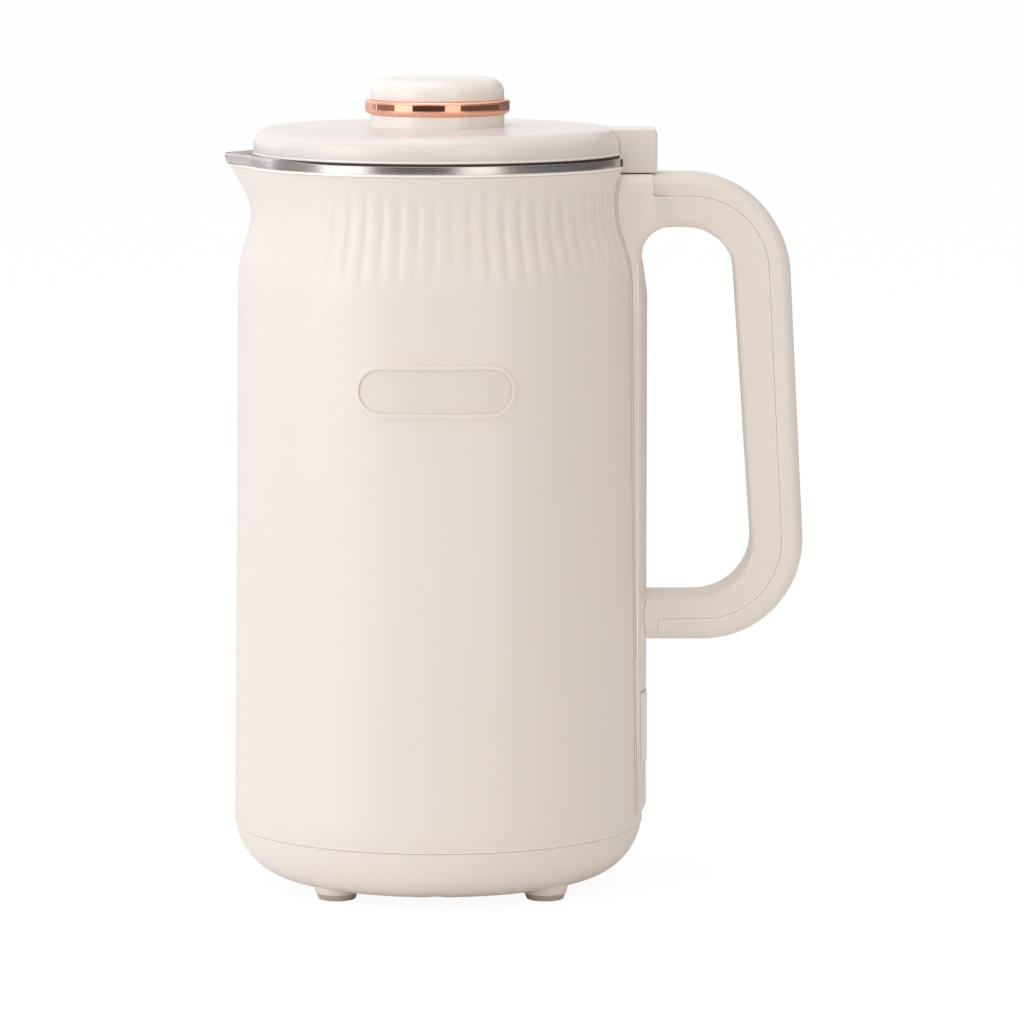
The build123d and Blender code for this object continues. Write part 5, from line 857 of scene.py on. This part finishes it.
opening_path = rounded(
    [
        (OPENING_START, OPENING_FOOT, 0),
        (back_line(OPENING_FOOT) - GRIP_FOOT, OPENING_FOOT, 17.5),
        (back_line(OPENING_TOP) - GRIP_TOP, OPENING_TOP, 15.5),
        (OPENING_START, OPENING_TOP, 0),
    ],
    steps=16,
)


def from_opening(x, z):
    """Distance in the handle's plane from the outline of the finger opening"""
    best = 1e9
    for (ax, az), (bx, bz) in zip(opening_path, opening_path[1:]):
        dx, dz = bx - ax, bz - az
        share = min(max(((x - ax) * dx + (z - az) * dz) / (dx * dx + dz * dz + 1e-12), 0.0), 1.0)
        best = min(best, hypot(x - ax - dx * share, z - az - dz * share))
    return best


def held_at(height):
    """How far the strip's sides stay upright at a height, from 0 to 1"""
    held = smooth(*HELD_TOP, height)
    for start, full, fading, end in HELD_SPANS:
        held = max(held, smooth(start, full, height) * (1 - smooth(fading, end, height)))
    return held


def handle_form(at):
    """Leans the strip's edges in, and tightens the rounding round the finger opening"""
    x, y, z = at.x / MM - AXIS_X, abs(at.y) / MM, at.z / MM
    if y > LEAN_HALF:
        foot = strip_foot(z) + FOOT_CLEARANCE
        share = min(max((x - foot) / max(crest_at(LEAN_HALF) - foot, LEAN_LEAST), 0.0), 1.0)
        y = LEAN_HALF + (y - LEAN_HALF) * (1 - share * (1 - held_at(z)))
    elif EDGE_SPAN[0] < y < EDGE_SPAN[1] and x > ROUND_CHANGE[0]:
        away = from_opening(x, z)
        outer = LOOP_HALF - LOOP_ROUND + sqrt(max(LOOP_ROUND ** 2 - (LOOP_ROUND - away) ** 2, 0.0))
        if away < LOOP_ROUND and abs(y - outer) < EDGE_MATCH:
            tight = LOOP_ROUND + (INNER_ROUND - LOOP_ROUND) * smooth(*ROUND_CHANGE, x)
            y = LOOP_HALF - tight + sqrt(max(tight ** 2 - max(tight - away, 0.0) ** 2, 0.0))
    return Vector((at.x, y * MM if at.y >= 0 else -y * MM, at.z))


# Slopes of the inlet's flange, and the drop of the tab's underside
FLANGE_HALF = 12.05
FLANGE_REACH = 64.6
FLANGE_DEPTH = 2.5
FLANGE_SLOPE_SHARE = 0.85
TAB_DROP = 0.45
TAB_SPLIT = 231.0


def inlet_form(at):
    """Slopes the sides of the inlet's flange back to the strip"""
    x, y = at.x / MM - AXIS_X, abs(at.y) / MM
    if y > FLANGE_HALF and x > FLANGE_REACH:
        share = FLANGE_SLOPE_SHARE * min((x - FLANGE_REACH) / FLANGE_DEPTH, 1.0)
        y = FLANGE_HALF + (y - FLANGE_HALF) * (1 - share)
    return Vector((at.x, y * MM if at.y >= 0 else -y * MM, at.z))


def tab_form(at):
    """Brings the tab's underside down to the handle"""
    return Vector((at.x, at.y, at.z - TAB_DROP * MM if at.z < TAB_SPLIT * MM else at.z))


# Bends: cuts are the levels at which a form can bend, by axis, and move bends it
BEND_REACHES = (63.2, 63.6, 64.2)
BEND_HEIGHTS = (
    *(33.0, 38.0, 66.0, 71.0, 74.5, 77.0),
    *(97.0, 100.0, 104.0),
    *(176.0, 181.0, 186.0, 190.0, 194.0, 198.0, 201.0, 203.0),
)
BACK_BEND = {
    "cuts": [
        (0, [(reach + AXIS_X) * MM for reach in BEND_REACHES]),
        (1, [across * MM for across in (-LEAN_HALF, LEAN_HALF)]),
        (2, [height * MM for height in BEND_HEIGHTS]),
    ],
    "move": handle_form,
}
INLET_BEND = {"cuts": [(0, [(FLANGE_REACH + AXIS_X) * MM])], "move": inlet_form}
TAB_BEND = {"cuts": [], "move": tab_form}

# Thin beads: the lip between the housing and the strip, and dark lines that paint the shade of its parting
# lines up to the rim, of the curved line where the lower limb leaves the strip, and of the line between the
# lid and its tab
BEAD_STEPS = 80
BEAD_SIDES = 12
LIP_SIZE = 0.25
LINE_SIZE = 0.16
LIMB_LINE_SIZE = 0.13
STRIP_LINE_FOOT = 24.4
STRIP_LINE_TOP = 228.6
LINE_BEFORE = 0.33
LINE_SINK = 0.03
FOLD_AFTER = 0.43
FOLD_SINK = 0.05
LIP_PROUD = 0.05
LIMB_START = 66.0
LIMB_MIDDLE = 87.5
LIMB_HALF = 8
LIMB_BOW = 1.3
LIMB_LINE_HEIGHTS = {"low": 81.6, "high": 93.6}
LIMB_PROUD = 0.01
TAB_HALF = 10.0
TAB_LINE_HEIGHTS = {"low": 235.6, "high": 243.0}
TAB_AFTER = 0.05
TAB_PROUD = 0.02


def upright_bead(name, look, size, where, low=STRIP_LINE_FOOT, high=STRIP_LINE_TOP, body="jug"):
    """Thin round bead that runs up the object; where gives its middle at a height"""
    bead_rows = []
    for step in range(BEAD_STEPS + 1):
        height = low + (high - low) * step / BEAD_STEPS
        x, y = where(height)
        turns = [2 * pi * side_number / BEAD_SIDES for side_number in range(BEAD_SIDES)]
        bead_rows.append([(x + size * cos(turn), y + size * sin(turn), height) for turn in turns])
    piece(name, *capped_skin(bead_rows), look, body, slot="shell")


def on_housing(height):
    """Point on the housing just short of the strip"""
    x = strip_foot(height) - LINE_BEFORE
    return x, sqrt(profile_radius(housing_profile, height) ** 2 - x ** 2) - LINE_SINK


def on_strip(height):
    """Point on the strip's side just past its foot"""
    x = strip_foot(height) + FOLD_AFTER
    at = handle_form(Vector(((x + AXIS_X) * MM, (STRIP_HALF - FOLD_SINK) * MM, height * MM)))
    return x, at.y / MM


def mirrored(where, side):
    """The same line on one side of the jug, -1 for the front and 1 for the rear"""
    return lambda height: (where(height)[0], side * where(height)[1])


def strip_edge(height):
    """Point on the corner between the housing and the strip"""
    return strip_foot(height) + LIP_PROUD, STRIP_HALF + LIP_PROUD


def limb_edge(height):
    """Point on the lower limb's side where it leaves the strip"""
    bow = LIMB_BOW * ((height - LIMB_MIDDLE) / LIMB_HALF) ** 2
    return LIMB_START + bow, LOOP_HALF + LIMB_PROUD


lid_side = [LID_FOOT] + lid_edge[::-1]


def tab_edge(height):
    """Point on the tab's side where it meets the lid"""
    x = sqrt(profile_radius(lid_side, height) ** 2 - TAB_HALF ** 2) + TAB_AFTER
    return x, TAB_HALF + TAB_PROUD


for side, side_name in SIDES:
    upright_bead(f"strip_lip_{side_name}", "shell", LIP_SIZE, mirrored(strip_edge, side))
    upright_bead(f"strip_line_{side_name}", "parting", LINE_SIZE, mirrored(on_housing, side))
    upright_bead(f"strip_fold_{side_name}", "parting", LINE_SIZE, mirrored(on_strip, side))
for side, side_name in SIDES:
    limb_line = mirrored(limb_edge, side)
    upright_bead(f"limb_line_{side_name}", "parting", LIMB_LINE_SIZE, limb_line, **LIMB_LINE_HEIGHTS)

# The tab's dark lines, which paint the shade beside it, and dark caps that paint the shadow at the rim's two
# ends
CAP_REACH = (57.75, 58.9)
CAP_ACROSS = (16.95, 17.46)
CAP_HEIGHTS = (231.5, 234.45)
for side, side_name in SIDES:
    tab_line = mirrored(tab_edge, side)
    upright_bead(f"tab_line_{side_name}", "parting", LINE_SIZE, tab_line, body="lid", **TAB_LINE_HEIGHTS)
    across = sorted(side * reach for reach in CAP_ACROSS)
    cap = block((CAP_REACH[0], across[0], CAP_HEIGHTS[0]), (CAP_REACH[1], across[1], CAP_HEIGHTS[1]))
    piece(f"rim_end_{side_name}", *cap, "shade", "jug", slot="damper_rubber")

# Touch panel's printed keys: three rings and three dots
KEY_STEPS = 48
KEY_HEIGHTS = (96.0, 118.0, 140.0)
KEY_RING = (4.6, 5.1)
KEY_DOT = (0.05, 0.8)
PRINT_DEPTH = -0.05
PRINT_RISE = 0.06


def printed(name, middle, inner, outer):
    """Flat printed ring or dot, round a height on the panel's midline, that follows the panel's face"""
    section = ((inner, PRINT_DEPTH), (outer, PRINT_DEPTH), (outer, PRINT_RISE), (inner, PRINT_RISE))
    key_rows = []
    for step in range(KEY_STEPS):
        angle = 2 * pi * step / KEY_STEPS
        row = []
        for radius, lift in section:
            x = radius * cos(angle)
            z = middle + radius * sin(angle)
            row.append((x, sqrt((profile_radius(housing_profile, z) + lift) ** 2 - x ** 2), z))
        key_rows.append(row)
    piece(name, *skin(key_rows, True, True), "icon", "jug", slot="liner")


for number, key_height in enumerate(KEY_HEIGHTS, 1):
    printed(f"panel_key_{number}", key_height, *KEY_RING)
    printed(f"panel_dot_{number}", key_height, *KEY_DOT)

# CAD forms that keep their shape and get the rounded edges of moulded plastic
HANDLE_BEVEL = 0.22
COVER_BEVEL = 0.3
TAB_BEVEL = 0.5
BADGE_FRAME_BEVEL = 0.45
BADGE_PLATE_BEVEL = 0.2
INLET_BEVEL = 0.3
PAD_BEVEL = 0.3
# The handle, base cover and lid tab get the paler lip look on their bevels, a painted highlight along edges
# and seams
handle_finish = {"bend": BACK_BEND, "clamp": False, "sharp": 50, "lip": "light_edge"}
dressed("handle_body", "shell", "jug", HANDLE_BEVEL, **handle_finish)
dressed("handle_cover", "shell", "jug", HANDLE_BEVEL, mate="handle_body", **handle_finish)
dressed("base_cover", "shell", "jug", COVER_BEVEL, lip="light_edge")
dressed("lid_tab", "lid_gloss", "lid", TAB_BEVEL, bend=TAB_BEND, lip="light_edge")
dressed("badge_frame", "shell", "jug", BADGE_FRAME_BEVEL)
dressed("badge_plate", "shell_edge", "jug", BADGE_PLATE_BEVEL)
inlet = dressed("power_inlet", "shell", "jug", INLET_BEVEL, bend=INLET_BEND)
for number in range(1, 5):
    dressed(f"foot_pad_{number}", "pads", "jug", PAD_BEVEL)

# The inlet's well and back are dark, its face and flange are not
INLET_FACE = 66.0
INLET_BACK = 62.5
WELL_MIDDLE = 52.0
WELL_RISE = 8.2
FACING_SHARE = 0.7
inlet.data.materials.append(looks["dark_plastic"])
for face in inlet.data.polygons:
    middle = face.center / MM
    reach = middle.x - AXIS_X
    front = face.normal.x > FACING_SHARE and reach > INLET_FACE
    inside = abs(middle.y) < FLANGE_HALF and abs(middle.z - WELL_MIDDLE) < WELL_RISE
    if (inside and not front) or reach < INLET_BACK:
        face.material_index = 1

# Camera, as in the photograph: its focal length is in the photograph's pixels
TILT = radians(6.9)
FOCAL_PIXELS = 5900.0
PHOTO_PIXELS = 1024.0
SENSOR_WIDTH = 36.0
CAMERA_AIM = (23.8, 119.8)
CAMERA_DISTANCE = 1898.6
camera_data = bpy.data.cameras.new("photo_camera")
camera_data.sensor_width = SENSOR_WIDTH
camera_data.lens = FOCAL_PIXELS * SENSOR_WIDTH / PHOTO_PIXELS
camera_data.clip_start = 0.05
camera_data.clip_end = 30.0
camera = bpy.data.objects.new("photo_camera", camera_data)
camera.location = (
    (CAMERA_AIM[0] + AXIS_X) * MM,
    -CAMERA_DISTANCE * cos(TILT) * MM,
    (CAMERA_AIM[1] + CAMERA_DISTANCE * sin(TILT)) * MM,
)
camera.rotation_euler = (pi / 2 - TILT, 0, 0)
bpy.context.scene.collection.objects.link(camera)
bpy.context.scene.camera = camera

# World: white where the camera, gloss and glass see it, softer where it lights the object
WORLD_LIGHT = 0.56
world = bpy.data.worlds.new("studio")
world.use_nodes = True
bpy.context.scene.world = world
world_nodes = world.node_tree.nodes
world_links = world.node_tree.links
background = world_nodes["Background"]
background.inputs["Color"].default_value = (1, 1, 1, 1)
paths = world_nodes.new("ShaderNodeLightPath")
camera_or_gloss = node(world_nodes, "ShaderNodeMath", operation="MAXIMUM")
any_sight = node(world_nodes, "ShaderNodeMath", operation="MAXIMUM")
world_links.new(paths.outputs["Is Camera Ray"], camera_or_gloss.inputs[0])
world_links.new(paths.outputs["Is Glossy Ray"], camera_or_gloss.inputs[1])
world_links.new(camera_or_gloss.outputs[0], any_sight.inputs[0])
world_links.new(paths.outputs["Is Transmission Ray"], any_sight.inputs[1])
strength = node(world_nodes, "ShaderNodeMapRange", To_Min=WORLD_LIGHT, To_Max=1.0)
world_links.new(any_sight.outputs[0], strength.inputs["Value"])
world_links.new(strength.outputs["Result"], background.inputs["Strength"])

# Lamps, cards and floor, in metres
LAMP_AIM = (AXIS_X * MM, 0, 0.13)


def lamp(name, where, size, power, colour):
    """Rectangular soft light that looks at the object's middle"""
    data = bpy.data.lights.new(name, "AREA")
    data.shape = "RECTANGLE"
    data.size, data.size_y = size
    data.energy = power
    data.color = colour
    made = bpy.data.objects.new(name, data)
    made.location = where
    made.rotation_euler = (Vector(LAMP_AIM) - Vector(where)).to_track_quat("-Z", "Y").to_euler()
    bpy.context.scene.collection.objects.link(made)


lamp("key_left", (-1.66, -1.02, 0.4), (1.2, 1.5), 12.0, (0.96, 1.03, 1.12))
lamp("side_left", (-1.76, 0.47, 0.45), (1.0, 1.5), 6.4, (0.92, 1.05, 1.25))
lamp("top_soft", (-0.25, -0.2, 1.7), (1.2, 1.2), 7.9, (0.98, 1.0, 1.05))
lamp("front_fill", (0.75, -2.15, 0.35), (1.6, 1.2), 6.6, (1.04, 0.985, 0.93))

CARD_STEPS = 16
CARD_RADIUS = 1.1
CARD_HEIGHT = 0.8


def studio_card(name, start, end, glow_strength):
    """Upright curved card between two angles, in degrees, which only gloss and metal see"""
    points = []
    for number in range(CARD_STEPS + 1):
        angle = radians(start + (end - start) * number / CARD_STEPS)
        for height in (0.0, CARD_HEIGHT):
            points.append((AXIS_X * MM + CARD_RADIUS * sin(angle), -CARD_RADIUS * cos(angle), height))
    faces = [(2 * n, 2 * n + 2, 2 * n + 3, 2 * n + 1) for n in range(CARD_STEPS)]
    mesh = bpy.data.meshes.new(name)
    mesh.from_pydata(points, [], faces)
    made = bpy.data.objects.new(name, mesh)
    bpy.context.scene.collection.objects.link(made)
    card_look, card_nodes, card_links, _ = shader(name)
    light = node(card_nodes, "ShaderNodeEmission", Strength=glow_strength)
    card_links.new(light.outputs["Emission"], card_nodes["Material Output"].inputs["Surface"])
    mesh.materials.append(card_look)
    made.visible_camera = False
    made.visible_diffuse = False
    made.visible_transmission = False
    made.visible_shadow = False


studio_card("card_left", -115, -72, 0.35)
studio_card("softbox_left", -72, -40, 2.0)
studio_card("card_middle", -40, 13, 0.08)
studio_card("softbox_right", 13, 38, 1.6)
studio_card("card_right", 38, 165, 0.15)

# Floor: pale, white to the camera, and it keeps a faint shadow
FLOOR_HALF = 6
FLOOR_BACK = 12
FLOOR_TONE = (0.95, 0.95, 0.95, 1)
FLOOR_GLOW = 1.04
FLOOR_GLOW_SHARE = 0.9
floor_corners = [
    (-FLOOR_HALF, -FLOOR_HALF, 0),
    (FLOOR_HALF, -FLOOR_HALF, 0),
    (FLOOR_HALF, FLOOR_BACK, 0),
    (-FLOOR_HALF, FLOOR_BACK, 0),
]
floor_mesh = bpy.data.meshes.new("floor")
floor_mesh.from_pydata(floor_corners, [], [(0, 1, 2, 3)])
floor = bpy.data.objects.new("floor", floor_mesh)
bpy.context.scene.collection.objects.link(floor)
floor_look, floor_nodes, floor_links, floor_base = shader("pale_floor")
floor_base.inputs["Base Color"].default_value = FLOOR_TONE
floor_base.inputs["Roughness"].default_value = 0.9
glow = node(floor_nodes, "ShaderNodeEmission", Strength=FLOOR_GLOW)
floor_paths = floor_nodes.new("ShaderNodeLightPath")
floor_share = node(floor_nodes, "ShaderNodeMapRange", To_Min=0.0, To_Max=FLOOR_GLOW_SHARE)
floor_links.new(floor_paths.outputs["Is Camera Ray"], floor_share.inputs["Value"])
floor_mix = floor_nodes.new("ShaderNodeMixShader")
floor_links.new(floor_share.outputs["Result"], floor_mix.inputs["Fac"])
floor_links.new(floor_base.outputs["BSDF"], floor_mix.inputs[1])
floor_links.new(glow.outputs["Emission"], floor_mix.inputs[2])
floor_links.new(floor_mix.outputs["Shader"], floor_nodes["Material Output"].inputs["Surface"])
floor_mesh.materials.append(floor_look)

# Looks of the CAD nodes, by their record's slot but for these
special = {
    "inner_cup": "cup_steel",
    "lower_blade": "blade_steel",
    "upper_blade": "blade_steel",
    "blade_nut": "blade_steel",
}
for name, cad in frame["nodes"].items():
    look = special.get(name, finish_of[name])
    if look == "rose_metal":
        look = "rose_satin"
    cad.data.materials.clear()
    cad.data.materials.append(looks[look])

bpy.context.scene.view_settings.view_transform = "Standard"
